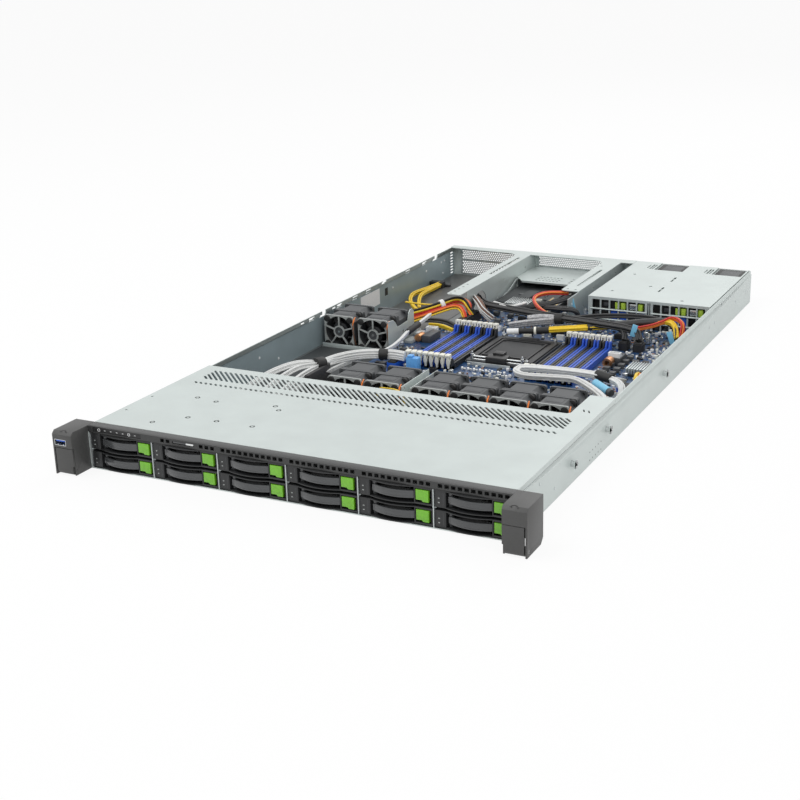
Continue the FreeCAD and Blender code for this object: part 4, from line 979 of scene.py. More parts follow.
def scatter(board, count, size, add, area=(SIDE_LEFT, BOARD_RIGHT, BOARD_FRONT, BOARD_REAR)):
    taken = []
    tries = 0
    while len(taken) < count and tries < 30 * count:
        tries += 1
        x = random.uniform(area[0], area[1])
        y = random.uniform(area[2], area[3])
        if free(x, y, size) and all(abs(x - a) > 2 * size or abs(y - b) > 2 * size for a, b in taken):
            taken.append((x, y))
            add(board, x, y)
    for x, y in taken:
        keep_clear(x, y, size)


def add_chip(board, x, y):
    width = random.choice((4, 5.5, 7, 9)) / 2
    depth = random.choice((4, 6, 8)) / 2
    board.box(x - width - 0.9, x + width + 0.9, y - depth * 0.8, y + depth * 0.8, BOARD_TOP,
              BOARD_TOP + 0.3, STEEL, 0)
    board.block(x, y, width, depth, BOARD_TOP + 0.1, BOARD_TOP + 1.4, CHIP, 0.2)


def add_capacitor(board, x, y):
    height = random.choice((5.5, 7.5, 9))
    board.block(x, y, 3.1, 3.1, BOARD_TOP, BOARD_TOP + 1, CHIP, 0.4)
    board.rod((x, y, BOARD_TOP + 0.8), (x, y, BOARD_TOP + height), 2.9, STEEL, 24, soft=0.5)
    board.box(x - 2.2, x - 0.4, y - 1.8, y + 1.8, BOARD_TOP + height - 0.02, BOARD_TOP + height + 0.04,
              CHIP, 0)


def add_coil(board, x, y):
    board.block(x, y, 3.6, 3.6, BOARD_TOP, BOARD_TOP + 5.5, FAN_GREY, 0.6)
    board.block(x, y, 4, 1.4, BOARD_TOP, BOARD_TOP + 1.6, STEEL, 0.2)


def add_header(board, x, y):
    plastic = random.choice((WHITE, CREAM, RUBBER, CHIP))
    board.sheet([rounded(x - 4.6, x + 4.6, y - 2.6, y + 2.6, 0.4, 2),
                 rectangle(x - 3.8, x + 3.8, y - 1.8, y + 1.8)], 6, plastic, raised(BOARD_TOP))
    for i in range(4):
        board.box(x - 3.1 + i * 1.9, x - 2.6 + i * 1.9, y - 0.3, y + 0.3, BOARD_TOP, BOARD_TOP + 5, GOLD, 0)


def add_crumb(board, x, y):
    wide = random.choice((0.8, 1.2, 1.6))
    deep = random.choice((0.5, 0.8, 1.2))
    coat = random.choice((CREAM, CHIP, STEEL, COPPER, WHITE))
    high = random.choice((0.6, 0.9, 1.4))
    board.block(x, y, wide, deep, BOARD_TOP, BOARD_TOP + high, coat, 0)


def add_stub(board, x, y):
    plastic = random.choice((WHITE, STEEL, CREAM, CHIP, FAN_PALE))
    half = random.choice((1.2, 1.6, 1.9))
    high = random.choice((2, 3.5, 5))
    board.block(x, y, half, 1.3, BOARD_TOP, BOARD_TOP + high, plastic, 0.3)


def add_plug(board, x0, x1, y0, y1, height, shell, rows, columns):
    z = BOARD_TOP
    board.sheet([rounded(x0, x1, y0, y1, 0.6, 3), rectangle(x0 + 1, x1 - 1, y0 + 1, y1 - 1)], height - 2,
                shell, raised(z))
    board.box(x0 + 0.9, x1 - 0.9, y0 + 0.9, y1 - 0.9, z, z + height, RUBBER, 0.5)
    pitch_x = (x1 - x0 - 2.6) / rows
    pitch_y = (y1 - y0 - 2.6) / columns
    for i in range(rows):
        for j in range(columns):
            x = x0 + 1.3 + (i + 0.5) * pitch_x
            y = y0 + 1.3 + (j + 0.5) * pitch_y
            board.block(x, y, 0.32 * pitch_x, 0.32 * pitch_y, z + height - 0.3, z + height + 0.15, CHIP, 0.1)


def make_boards():
    board = Shape()
    outline = [(BOARD_LEFT, BOARD_FRONT), (BOARD_RIGHT, BOARD_FRONT), (BOARD_RIGHT, NOTCH_Y),
               (NOTCH_X, NOTCH_Y), (NOTCH_X, BOARD_REAR), (BOARD_LEFT, BOARD_REAR), (BOARD_LEFT, 548),
               (SIDE_LEFT, 540), (SIDE_LEFT, 360), (BOARD_LEFT, 352)]
    screws = ((-70, 340), (60, 340), (200, 340), (-70, 540), (200, 610), (-70, 780), (30, 780))
    board.sheet([outline], BOARD_THICK, CIRCUIT, raised(BOARD_TOP - BOARD_THICK))
    for x, y in screws:
        board.ring((x, y, BOARD_TOP), (x, y, BOARD_TOP + 0.1), 4, 1.6, GOLD, 24)
        board.rod((x, y, BOARD_TOP), (x, y, BOARD_TOP + 2), 2.9, STEEL, 24, soft=0.5)
        board.rod((x, y, BOARD_TOP + 1.9), (x, y, BOARD_TOP + 2.05), 1.2, CHIP, 6)
        keep_clear(x, y, 4)
    # Plugs that the looms end in, and the rear ports
    for plug, columns in zip(POWER_PLUGS, (12, 2, 2, 2, 3)):
        add_plug(board, *plug, CHIP, 2, columns)
    for plug, rows, columns in zip(DATA_PLUGS, (1, 2), (6, 3)):
        add_plug(board, *plug, PORT_BLUE, rows, columns)
    rear = BODY_DEPTH - 1.3
    for x, width, height in PORTS:
        top = 9 + height - 0.3
        board.box(x + 0.3, x + width - 0.3, rear - 21.7, rear - 1, BOARD_TOP, top, STEEL, 0.4)
        board.sheet([rectangle(x + 0.3, x + width - 0.3, BOARD_TOP, top),
                     rectangle(x + 1.4, x + width - 1.4, 10, top - 1)], 1, STEEL, upright_x(rear - 1))
        tint = PORT_BLUE if width == 18 else CHIP
        board.box(x + 1.2, x + width - 1.2, rear - 6, rear - 2.6, 9.8, top - 0.8, tint, 0.2)
    # Drive backplane with the drive plugs and its air slots
    left = INSIDE_LEFT + 2
    slots = []
    for column in range(COLUMNS):
        centre = INSIDE_LEFT + (column + 0.5) * COLUMN_PITCH - 0.4
        for row in range(ROWS):
            z = BAY_BOTTOM + row * ROW_PITCH
            slots.append(rounded(centre - 26, centre + 26, z + 9, z + 14, 1, 3))
            board.box(centre - 21, centre + 21, BACKPLANE - 5, BACKPLANE, z + 2, z + 7, CHIP, 0.4)
    board.sheet([rectangle(left, -left, BAY_BOTTOM, 36.4)] + slots, BOARD_THICK, CIRCUIT,
                upright_x(BACKPLANE))
    # Board parts with stated places
    for y in (430, 446, 462, 478, 494):
        for x in (148, 160):
            if free(x, y, 4.2):
                add_coil(board, x, y)
                keep_clear(x, y, 4.2)
    for i in range(15):
        turn = Matrix.Translation((-6 + i * 3.7, 392 - (i % 2) * 2, BOARD_TOP)) @ Matrix.Rotation(0.5, 4, "Z")
        board.box(-1.2, 1.2, -2.2, 2.2, 0, 2.6, STEEL if i % 2 else WHITE, 0.3, turn)
    KEEP_CLEAR.append((-14, 54, 384, 398))
    board.sheet([rounded(-107, -93, 505, 513, 0.6, 3), rectangle(-105.4, -94.6, 506.6, 511.4)], 9, WHITE,
                raised(BOARD_TOP))
    board.rod((-101, 470, BOARD_TOP + 5), (-101, 484, BOARD_TOP + 5), 4.6, COPPER, 28, soft=0.4)
    board.box(-96, -84, 470, 500, BOARD_TOP, BOARD_TOP + 9, FAN_GREY, 0.8)
    board.box(-114, -104, 460, 478, BOARD_TOP, BOARD_TOP + 4, FAN_PALE, 0.5)
    board.box(-113, -103, 486, 500, BOARD_TOP, BOARD_TOP + 6.5, ZINC_BRUSHED, 0.6)
    KEEP_CLEAR.append((-118, -82, 458, 516))
    board.box(-62.5, -48, 362, 371.6, BOARD_TOP, 24.5, TAG_BLUE, 0.8)
    board.box(-61, -55, 362.5, 370, 24.2, 27, TAG_BLUE, 0.6)
    board.ring((145, 455, BOARD_TOP + 6), (145, 466, BOARD_TOP + 6), 5.6, 3, COPPER, 28)
    board.box(140, 156, 467, 492, BOARD_TOP, BOARD_TOP + 9, GUNMETAL, 0.6)
    board.sheet([rounded(141, 155, 470, 478, 0.6, 3), rectangle(142.4, 153.6, 471.4, 476.6)], 5, WHITE,
                raised(BOARD_TOP + 8.8))
    board.box(172, 200, 436, 466, BOARD_TOP, BOARD_TOP + 3, CHIP, 0.5)
    for i in range(9):
        board.box(172.6 + i * 3.1, 174.4 + i * 3.1, 436.6, 465.4, BOARD_TOP + 2.8, BOARD_TOP + 9,
                  ZINC_BRUSHED, 0.2)
    KEEP_CLEAR.append((170, 202, 434, 468))
    board.box(-60, -26, 640, 674, BOARD_TOP, BOARD_TOP + 2.6, CHIP, 0.4)
    for i in range(11):
        board.box(-59 + i * 3, -57.6 + i * 3, 641, 673, BOARD_TOP + 2.4, BOARD_TOP + 11, STEEL, 0.2)
    KEEP_CLEAR.append((-62, -24, 638, 676))
    board.rod((34, 716, BOARD_TOP), (34, 716, BOARD_TOP + 3), 10.2, CHIP, 40, soft=0.4)
    board.rod((34, 716, BOARD_TOP + 2.8), (34, 716, BOARD_TOP + 4.4), 9.6, STEEL, 40, soft=0.3)
    KEEP_CLEAR.append((22, 46, 704, 728))
    for x, start in ((-8, 690), (8, 700)):
        board.box(x - 3.6, x + 3.6, start - 88, start, BOARD_TOP, BOARD_TOP + 10.5, SLOT_BLACK, 0.5)
        board.box(x - 0.8, x + 0.8, start - 86, start - 2, BOARD_TOP + 10.3, BOARD_TOP + 10.6, GOLD, 0)
        KEEP_CLEAR.append((x - 4.6, x + 4.6, start - 89, start + 1))
    scatter(board, 26, 4.6, add_coil)
    scatter(board, 34, 4, add_capacitor)
    scatter(board, 22, 5.2, add_header)
    scatter(board, 60, 5.8, add_chip)
    scatter(board, 90, 2, add_stub, (140, 212, 480, 620))
    scatter(board, 60, 2, add_stub, (-60, 60, 322, 410))
    scatter(board, 900, 1.4, add_crumb)
    board.done("board_assembly", "chassis", "circuit_boards", slot="board_blue")


# Rear frames: power supply cage, card bay brackets, port shield and perforated screens
CAGE_LEFT = 61
CAGE_FRONT = 628
GUARDS = ((66.5, 134.8), (145, 210.5))
SUPPLY_LEFT = 100.4
SUPPLY_PITCH = 78.1
SUPPLY_LENGTH = 185
SHELL_DEPTH = 18
INLET_INSET = 19
REAR_FAN_INSET = 19.5
REAR_FAN_RADIUS = 16
GUARD_COLUMNS = 6
GUARD_ROWS = 3
GUARD_WIRE = 1.9
GUARD_PITCH = 12.9
BRACKET = -91
HOLE_MIDDLE = 634
HOLE_RADIUS = 21
SHIELD_TOP = 23
SHIELD_FRONT = 742
SHIELD_CORNER = 760
SHIELD_SLANT = 14
SHELF_FRONT = 812
FLARE_RADIUS = 14
SCREEN_PITCH = 3
SCREEN_ROW = 0.87


def make_cage():
    cage = Shape()
    right = HALF - 2 * SHEET - 0.8
    rear = BODY_DEPTH - SHEET
    # The two rear cut-outs are steps in the plate's rear edge
    outline = [(CAGE_LEFT, CAGE_FRONT), (right, CAGE_FRONT), (right, rear)]
    holes = []
    for centre in (SUPPLY_LEFT + SUPPLY_PITCH, SUPPLY_LEFT):
        outline += [(centre + 35.6, rear), (centre + 35.6, rear - 40), (centre - 3.4, rear - 40),
                    (centre - 3.4, rear)]
        for shift in (10.2, 6.8):
            holes.append(long_slot(centre - shift, rear - 37, centre - shift, rear - 13, 1.15))
        holes.append(long_slot(centre - 14.5, rear - 33, centre - 14.5, rear - 16, 0.8))
    outline.append((CAGE_LEFT, rear))
    for x, y in ((81, 755), (177, 644), (81, 662), (120, 700)):
        holes.append(circle(x, y, 2.2, 16))
    for y in (678, 691, 734, 747):
        holes.append(long_slot(137, y, 137, y + 9, 1.4))
    cage.sheet([outline] + holes, SHEET, ZINC, raised(WALL_TOP))
    for x in (CAGE_LEFT, 138.95):
        cage.box(x, x + SHEET, CAGE_FRONT + SHEET, rear, SHEET, WALL_TOP, ZINC, 0.15)
    # Wire guard: six by three cells before each supply, and a slot between the two
    cells = [rectangle(137.9, 141.9, 3.4, 40.8)]
    for x0, x1 in GUARDS:
        step = (x1 - x0 + GUARD_WIRE) / GUARD_COLUMNS
        for i in range(GUARD_COLUMNS):
            for j in range(GUARD_ROWS):
                z = 3.2 + j * GUARD_PITCH
                cells.append(rounded(x0 + i * step, x0 + (i + 1) * step - GUARD_WIRE, z, z + 11, 0.5, 2))
    cage.sheet([rectangle(CAGE_LEFT, right, SHEET, WALL_TOP)] + cells, SHEET, ZINC, upright_x(CAGE_FRONT))
    for x0, x1 in GUARDS:
        for z in (15.1, 28):
            cage.rod((x0 - 2, CAGE_FRONT - 0.4, z), (x1 + 2, CAGE_FRONT - 0.4, z), 0.9, ZINC, 12)
        step = (x1 - x0 + GUARD_WIRE) / GUARD_COLUMNS
        for i in range(1, GUARD_COLUMNS):
            x = x0 + i * step - GUARD_WIRE / 2
            cage.rod((x, CAGE_FRONT + 0.2, 2.6), (x, CAGE_FRONT + 0.2, 41.6), 0.85, ZINC, 12)
        # Connectors behind it
        cage.box(x0 - 2, x1 + 2, CAGE_FRONT + 9, CAGE_FRONT + 14.5, 2, 41, RUBBER, 0.2)
        for cell, low, high in ((2, 13, 27), (3, 2.6, 27), (5, 2.6, 25)):
            left = x0 + cell * step + 0.4
            cage.box(left, left + step - 3, CAGE_FRONT + 2, CAGE_FRONT + 9.4, low, high, PORT_BLUE, 0.5)
        for left in (x0 + 2.5 * step, x0 + 3.15 * step, x0 + 5.05 * step):
            cage.box(left, left + 5.6, CAGE_FRONT + 1.6, CAGE_FRONT + 9.4, 29, 37.5, LIME, 0.5)
        cage.box(x0 + 4.1 * step, x0 + 4.9 * step, CAGE_FRONT + 1.6, CAGE_FRONT + 9.4, 30, 37, STEEL, 0.5)
        for cell, low in ((0, 5), (0, 18), (1, 5), (1, 31), (4, 8)):
            left = x0 + cell * step + 2
            cage.box(left, left + 6, CAGE_FRONT + 4, CAGE_FRONT + 9.4, low, low + 5, GUNMETAL, 0.4)
    # Brackets beside the card bays
    arch = [(HOLE_MIDDLE - HOLE_RADIUS, 3), (HOLE_MIDDLE + HOLE_RADIUS, 3)]
    arch += arc(HOLE_MIDDLE, 13, HOLE_RADIUS, 0, math.pi, 16)
    plate = [rectangle(592, rear, SHEET, WALL_TOP), arch]
    plate += [circle(y, z, 1.5, 14) for y, z in ((608, 30), (690, 12), (716, 30), (760, 12), (790, 30))]
    cage.sheet(plate, SHEET, ZINC, upright_y(BRACKET))
    for right_edge, width, start, slot, holes in (
        (-90, 20, 572, (687, 790), ((-105.5, 576), (-105, 588), (-104.6, 600), (-104.2, 613), (-104, 626))),
        (43, 24, 642, (669, 763), ((25, 651), (36, 650), (25, 783))),
    ):
        left_edge = right_edge - width
        flare = [(left_edge - FLARE_RADIUS + FLARE_RADIUS * math.sin(math.radians(a)),
                  SHELF_FRONT - FLARE_RADIUS + FLARE_RADIUS * math.cos(math.radians(a)))
                 for a in range(0, 91, 10)]
        flange = flare + [(left_edge, start + 3), (left_edge + 3, start), (right_edge, start),
                          (right_edge, SHELF_FRONT)]
        middle = right_edge - 0.45 * width
        loops = [flange, long_slot(middle, slot[0] + 1.8, middle, slot[1] - 1.8, 1.8)]
        loops += [circle(x, y, 1.7, 12) for x, y in holes]
        cage.sheet(loops, SHEET, ZINC, raised(WALL_TOP))
    side = [rectangle(604, rear, BOARD_TOP, WALL_TOP)]
    side += [circle(y, z, 1.5, 14) for y, z in ((618, 34), (660, 20), (700, 34), (740, 20), (790, 34))]
    cage.sheet(side, SHEET, ZINC_BRUSHED, upright_y(42))
    tag = Matrix.Translation((41.5, 622, 32)) @ Matrix.Rotation(math.radians(-16), 4, "Y")
    cage.box(-3.6, 3.6, -0.9, 0.9, -7, 7, CLIP_BLUE, 0.5, tag)
    # Port shield
    left = BRACKET + 1.3
    right_side = 41.7
    back = rear - 0.3
    shield = [[(left, back), (left, SHIELD_CORNER), (left + SHIELD_SLANT, SHIELD_FRONT),
               (right_side, SHIELD_FRONT), (right_side, back)]]
    for first in (-58, -10):
        for i in range(7):
            for j in range(3):
                shield.append(circle(first + i * 5, 752 + j * 9, 2, 8))
        cage.box(first - 4, first + 34, 748, 775, 20, 21, WHITE, 0.2)
    cage.sheet(shield, SHEET, ZINC, raised(SHIELD_TOP))
    cage.box(left, left + SHEET, SHIELD_CORNER, back, BOARD_TOP, SHIELD_TOP, ZINC, 0.15)
    side_plate = [(690, 9), (728, 16), (746, 23), (760, 24), (760, 21.5), (746, 20.5), (729, 13.5),
                  (694, 8.7)]
    cage.sheet([side_plate], SHEET, ZINC, upright_y(left + 3))
    cage.box(left + SHIELD_SLANT, right_side, SHIELD_FRONT, SHIELD_FRONT + SHEET, 21.4, 23.4, ZINC, 0.15)
    # Dark sheet over the board before the shield
    cage.box(-84, 20, 668, 790, 12, 12.6, DARK_SHEET, 0.1)
    for x in (-60, -24, 8):
        cage.box(x, x + 16, 690, 730, 12.5, 15, DARK_SHEET, 0.8)
    cage.done("rear_frames", "chassis", "rear_bay_frames", slot="zinc_steel")

    screens = Shape()
    for x0, x1, z0, z1, bars in ((-206, -112, 3, 41.5, (22.5, 25.5)), (-86, 34, 24.3, 41.5, ())):
        loops = [rectangle(x0, x1, z0, z1)]
        for i in range(int((x1 - x0 - 5) / SCREEN_PITCH)):
            for j in range(int((z1 - z0 - 3) / (SCREEN_PITCH * SCREEN_ROW))):
                x = x0 + 3.5 + i * SCREEN_PITCH + (j % 2) * SCREEN_PITCH / 2
                z = z0 + 2.5 + j * SCREEN_PITCH * SCREEN_ROW
                if x < x1 - 3 and z < z1 - 2 and not (bars and bars[0] < z < bars[1]):
                    loops.append(circle(x, z, 1.15, 6))
        screens.sheet(loops, SHEET, ZINC_BRUSHED, upright_x(BODY_DEPTH - 2 * SHEET))
    screens.done("screen_sheets", "chassis", "rear_screens", slot="screen_steel")


def make_supply(number):
    node = "power_supply_" + str(number)
    x0, x1, y0, y1, z0, z1 = drawn_box(node)
    rear = BODY_DEPTH
    front = rear - SUPPLY_LENGTH
    shell = rear - SHELL_DEPTH
    supply = Shape()
    inlet_x = x0 + INLET_INSET
    fan_x = x1 - REAR_FAN_INSET
    fan_z = (z0 + z1) / 2
    # Housing as a folded shell with an open rear, and the moulded rear plate in it
    supply.box(x0, x1, front, shell, z0, z1, ZINC, 0.5)
    for wall in ((x0, x0 + 1, z0, z1), (x1 - 1, x1, z0, z1), (x0, x1, z0, z0 + 1), (x0, x1, z1 - 1, z1)):
        supply.box(wall[0], wall[1], rear - 19, rear, wall[2], wall[3], ZINC, 0.2)
    plate = [rectangle(x0 + 0.9, x1 - 0.9, z0 + 0.9, z1 - 0.9),
             rounded(inlet_x - 13.5, inlet_x + 13.5, z0 + 6, z0 + 26, 1.5),
             circle(fan_x, fan_z, REAR_FAN_RADIUS, 40)]
    supply.sheet(plate, 2, ZINC_BRUSHED, upright_x(rear - 2))
    supply.box(inlet_x - 14.4, inlet_x + 14.4, rear - 18.5, rear - 17.5, z0 + 5, z0 + 27, CHIP, 0.2)
    liner = [rounded(inlet_x - 13.5, inlet_x + 13.5, z0 + 6, z0 + 26, 1.5),
             rounded(inlet_x - 12.5, inlet_x + 12.5, z0 + 7, z0 + 25, 1.2)]
    supply.sheet(liner, 17.6, CHIP, upright_x(shell))
    supply.box(inlet_x - 8, inlet_x + 8, shell, rear - 3, z0 + 11, z0 + 21, CHIP, 1.2)
    for shift in (-5, 0, 5):
        supply.box(inlet_x + shift - 1, inlet_x + shift + 1, rear - 3.2, rear - 2.9, z0 + 13.5, z0 + 18.5,
                   STEEL, 0.1)
    # Rear fan with its wire guard
    supply.rod((fan_x, rear - 8, fan_z), (fan_x, rear - 4, fan_z), 15.9, RUBBER, 40)
    supply.rod((fan_x, rear - 6, fan_z), (fan_x, rear - 3, fan_z), 6.5, ROTOR, 32, soft=0.4)
    for radius in (5, 9, 13, 16.4):
        supply.ring((fan_x, rear - 1.8, fan_z), (fan_x, rear - 0.9, fan_z), radius + 0.5, radius - 0.5,
                    STEEL, 40)
    for angle in (0, 90):
        place = Matrix.Translation((fan_x, rear - 1.4, fan_z)) @ Matrix.Rotation(math.radians(angle), 4, "Y")
        supply.box(-17, 17, -0.5, 0.5, -0.55, 0.55, STEEL, 0.2, place)
    # Handle, release tab, status light and the card edge at the front
    grip = z1 - 6
    for x in (inlet_x - 14, inlet_x + 10):
        supply.box(x, x + 4, rear - 0.5, y1 - 3, grip - 6, grip, CHIP, 0.9)
    supply.box(inlet_x - 14, inlet_x + 14, y1 - 5, y1, grip - 6, grip, CHIP, 1.6)
    supply.box(x0 + 2, x0 + 4, rear - 0.5, rear + 12, z0 + 6, z0 + 22, GREEN, 0.5)
    supply.rod((x1 - 38.5, rear - 0.3, z1 - 5), (x1 - 38.5, rear + 0.3, z1 - 5), 1.3, GREEN, 18)
    centre = (x0 + x1) / 2
    supply.box(centre - 28, centre + 28, y0, front + 0.5, z0 + 4, z0 + 5.6, CIRCUIT, 0.2)
    for i in range(16):
        x = centre - 26 + i * 3.4
        supply.box(x, x + 2.2, y0 + 0.6, y0 + 6, z0 + 5.5, z0 + 5.7, GOLD, 0)
    # Rear corner seen through the cage's cut-out: the fan's dark housing
    supply.box(fan_x - 19, fan_x + 19.2, rear - 40, rear - 1, z1 - 1.4, z1 + 0.25, SLEEVE, 0.3)
    supply.box(fan_x - 12, fan_x + 12, rear - 34, rear - 6, z1 - 0.5, z1 + 0.35, FAN_GREY, 0.1)
    for sx in (-15.4, 15.4):
        supply.box(fan_x + sx - 2.4, fan_x + sx + 2.4, rear - 34, rear - 6, z1 - 0.5, z1 + 0.3, RUBBER, 0.1)
    holes = [circle(x0 + 6 + i * 4.2, z0 + 8 + j * 4.2, 1.5, 8) for i in range(15) for j in range(7)]
    supply.sheet([rectangle(x0 + 0.8, x1 - 0.8, z0 + 6.2, z1 - 0.8)] + holes, 0.5, ZINC_BRUSHED,
                 upright_x(front - 0.5))
    supply.box(x0 + 2, x1 - 2, front - 0.05, front + 0.4, z0 + 6.6, z1 - 2, RUBBER, 0)
    supply.done(node + "_module", node, node, slot="supply_steel")


# Looms: bundles of round wires on smooth splines
SEED_ANGLE = 2.4


def bundle_routes(route, count, spread):
    """Parallel routes round a middle line, packed as seeds in a disc."""
    places = [Vector(p) for p in route]
    routes = []
    for k in range(count):
        radius = spread * math.sqrt((k + 0.5) / count)
        aside = radius * math.cos(SEED_ANGLE * k)
        lift = radius * math.sin(SEED_ANGLE * k)
        line = []
        for i, place in enumerate(places):
            heading = places[min(i + 1, len(places) - 1)] - places[max(i - 1, 0)]
            heading.normalize()
            across = heading.cross(Vector((0, 0, 1)))
            if across.length < 0.2:
                across = Vector((1, 0, 0))
            across.normalize()
            other = across.cross(heading)
            line.append(place + across * aside + other * lift)
        routes.append(line)
    return routes


def bundles(*rows):
    """The wires of several bundles, each given as its count of wires, its spread and its route."""
    routes = []
    for count, spread, route in rows:
        routes += bundle_routes(route, count, spread)
    return routes


def make_looms():
    plane = BACKPLANE + BOARD_THICK
    white = []
    joined = [(-133, 328, 25), (-121, 348, 25), (-106, 359, 25), (-90, 364, 25), (-76, 367, 25),
              (-66, 367, 24)]
    for count, rise, lead in (
        (7, 2, [(-176, plane, 16), (-176, 190, 20), (-169, 236, 29), (-156, 268, 33), (-147, 288, 30),
                (-142, 303, 25)]),
        (6, -0.5, [(-160, plane, 12), (-160, 190, 14), (-155, 240, 26), (-148, 268, 31), (-143, 288, 28),
                   (-139, 303, 25)]),
        (6, -2.5, [(-147, plane, 10), (-146, 190, 10), (-142, 240, 20), (-140, 265, 25), (-139, 288, 25),
                   (-137.5, 303, 24.5)]),
    ):
        white += bundle_routes(lead + [(x, y, z + rise) for x, y, z in joined], count, 2.8)
    white += bundles(
        (5, 2.4, [(-146, plane, 11), (-143, 200, 11), (-138, 270, 14), (-130, 330, 17), (-117, 366, 19),
                  (-101, 392, 20), (-103, 430, 22), (-105, 452, 26), (-105, 485, 28), (-108, 520, 29)]),
        (11, 3.4, [(206, plane, 20), (207, 200, 20), (207, 258, 24), (200, 291, 28), (190, 302, 31),
                   (174, 316, 33), (152, 336, 33), (134, 334, 33), (119, 331, 33), (97, 329, 32),
                   (82, 338, 31), (78, 352, 31), (84, 360, 31), (124, 362, 32), (168, 357, 33.5),
                   (186, 349, 33), (198, 343, 31), (204, 332, 26), (202, 320, 18), (197, 312, 11)]),
        (4, 1.6, [(178, 353, 33), (191, 357, 31), (194, 366, 27), (191, 379, 22)]),
        (2, 1, [(-52, 591, 33), (-40, 583, 33.5), (-24, 577, 33.5), (-17, 588, 33.5), (-13, 603, 33)]),
    )
    wires("data_looms", "chassis", white, 1.25, WIRE_WHITE, ("internal_cables",))

    black = bundles(
        (9, 4.6, [(-97, 652, 14), (-88, 640, 18), (-79, 618, 24), (-62, 592, 28), (-35, 580, 30),
                  (-6, 569, 31), (29, 559, 32), (60, 550, 33), (87, 544, 34), (120, 539, 34),
                  (144, 543, 31), (157, 541, 26), (158, 533, 20)]),
        (7, 4, [(-97, 613, 8), (-99, 625, 20), (-97, 639, 26), (-99, 653, 18), (-97, 659, 6)]),
        (6, 3.2, [(36, 648, 36), (28, 632, 34), (10, 616, 30), (-18, 604, 26), (-50, 614, 19),
                  (-80, 640, 14)]),
        (5, 3, [(54, 617, 9), (54, 616, 20), (49, 609, 29), (37, 600, 31), (18, 606, 29), (-4, 620, 22),
                (-20, 642, 12)]),
        (6, 3, [(52, 560, 30), (71, 571, 31), (93, 580, 33), (124, 585, 35), (154, 589, 35), (179, 586, 32),
                (192, 575, 27), (193, 568, 18)]),
        (6, 3, [(-170, 520, 10), (-150, 536, 12), (-131, 547, 14), (-104, 549, 15), (-86, 543, 13),
                (-76, 536, 10)]),
        (5, 3, [(120, 548, 30), (130, 542, 32), (139, 538, 26), (140, 532, 20)]),
    )
    wires("power_looms", "chassis", black, 1.45, SLEEVE)

    main = [(-176, 532, 10), (-158, 534, 18), (-140, 542, 23), (-128, 561, 25), (-117, 577, 28),
            (-102, 587, 33), (-86, 579, 34), (-78, 573, 28), (-77, 572, 19)]
    under = [(-176, 530, 6), (-156, 531, 10), (-140, 537, 15), (-126, 553, 19), (-111, 566, 24),
             (-95, 570, 29), (-81, 561, 28), (-77, 557, 19)]
    tail = [(-201, 747, 7), (-204, 716, 7), (-206, 690, 9), (-204, 664, 11), (-197, 643, 11),
            (-187, 624, 11), (-176, 610, 10), (-166, 600, 9)]
    inner_tail = [(-199, 747, 6), (-200, 716, 6), (-198, 690, 8), (-194, 668, 9), (-187, 650, 8),
                  (-178, 630, 8), (-168, 612, 8)]
    flat = [(50, 521, 26), (69, 526, 28), (95, 538, 29), (122, 558, 29), (150, 578, 31), (177, 585, 33),
            (190, 578, 30), (194, 568, 18)]
    loop = [(27, 649, 38), (14, 645, 38.5), (0, 638, 38.5), (-7, 622, 38), (-4, 605, 36.5), (8, 588, 34),
            (20, 576, 32.5), (33, 563, 32)]
    side = [(140, 560, 26), (158, 570, 28), (172, 578, 33), (180, 588, 37), (191, 583, 37), (199, 576, 32),
            (198, 568, 18)]
    edge = [(204, 404, 9), (203, 396, 24), (203, 384, 32), (206, 368, 32), (209, 356, 24), (209, 344, 14)]
    low = [(-118, 540, 10), (-104, 534, 13), (-90, 528, 13), (-78, 524, 11)]
    for tint, phase, name in ((WIRE_YELLOW, 0, "yellow"), (WIRE_RED, 1, "red"), (WIRE_ORANGE, 2, "orange"),
                              (RUBBER, 3, "black")):
        routes = bundle_routes(main, 12, 4.2)[phase::4] + bundle_routes(under, 7, 3)[(phase + 1) % 4::4]
        if tint is WIRE_YELLOW:
            routes += bundle_routes(tail, 4, 2.6) + bundle_routes(inner_tail, 4, 2.4)
            routes += bundle_routes(flat, 9, 3.4) + bundle_routes(low, 5, 2.4)
            routes += bundle_routes(edge, 3, 1.8)
            routes.append([(-173, 582, 24), (-153, 580, 24), (-135, 577, 25), (-122, 578, 27),
                           (-113, 583, 31)])
        if tint is WIRE_ORANGE:
            routes += bundle_routes(loop, 4, 2)[:2] + bundle_routes(side, 5, 2.6)[:3]
            routes.append([(x + 3.4, y, z) for x, y, z in edge])
        if tint is WIRE_RED:
            routes += bundle_routes(loop, 4, 2)[2:] + bundle_routes(side, 5, 2.6)[3:]
        wires("feed_wires_" + name, "chassis", routes, 1.25, tint)

    bright = []
    dark = []
    for x, y in fan_places():
        edge_x = x + FAN / 2 + 1.2
        bright += bundle_routes([(edge_x - 2, y + 7, 38.5), (edge_x - 0.6, y + 2, 38.5),
                                 (edge_x + 0.4, y - 2, 35.5), (edge_x - 0.4, y - 3, 31),
                                 (edge_x + 0.3, y - 2, 27)], 2, 0.6)
        dark += bundle_routes([(edge_x + 0.4, y + 10, 34), (edge_x - 0.4, y + 2, 37),
                               (edge_x + 0.3, y - 3, 33), (edge_x, y - 3, 22), (edge_x, y + 3, 6)], 2, 0.7)
    wires("fan_wires", "chassis", bright, 0.55, WIRE_ORANGE)
    wires("fan_leads", "chassis", dark, 0.6, WIRE_BROWN)
    wires("fan_loop", "chassis", bundle_routes([(-24, 223, 28), (-21, 222, 37), (-12, 214, 39.5),
                                                (-3, 214, 40), (6, 212, 39.5), (12, 208, 36),
                                                (14, 207, 26)], 4, 1.4), 0.7, WIRE_YELLOW)

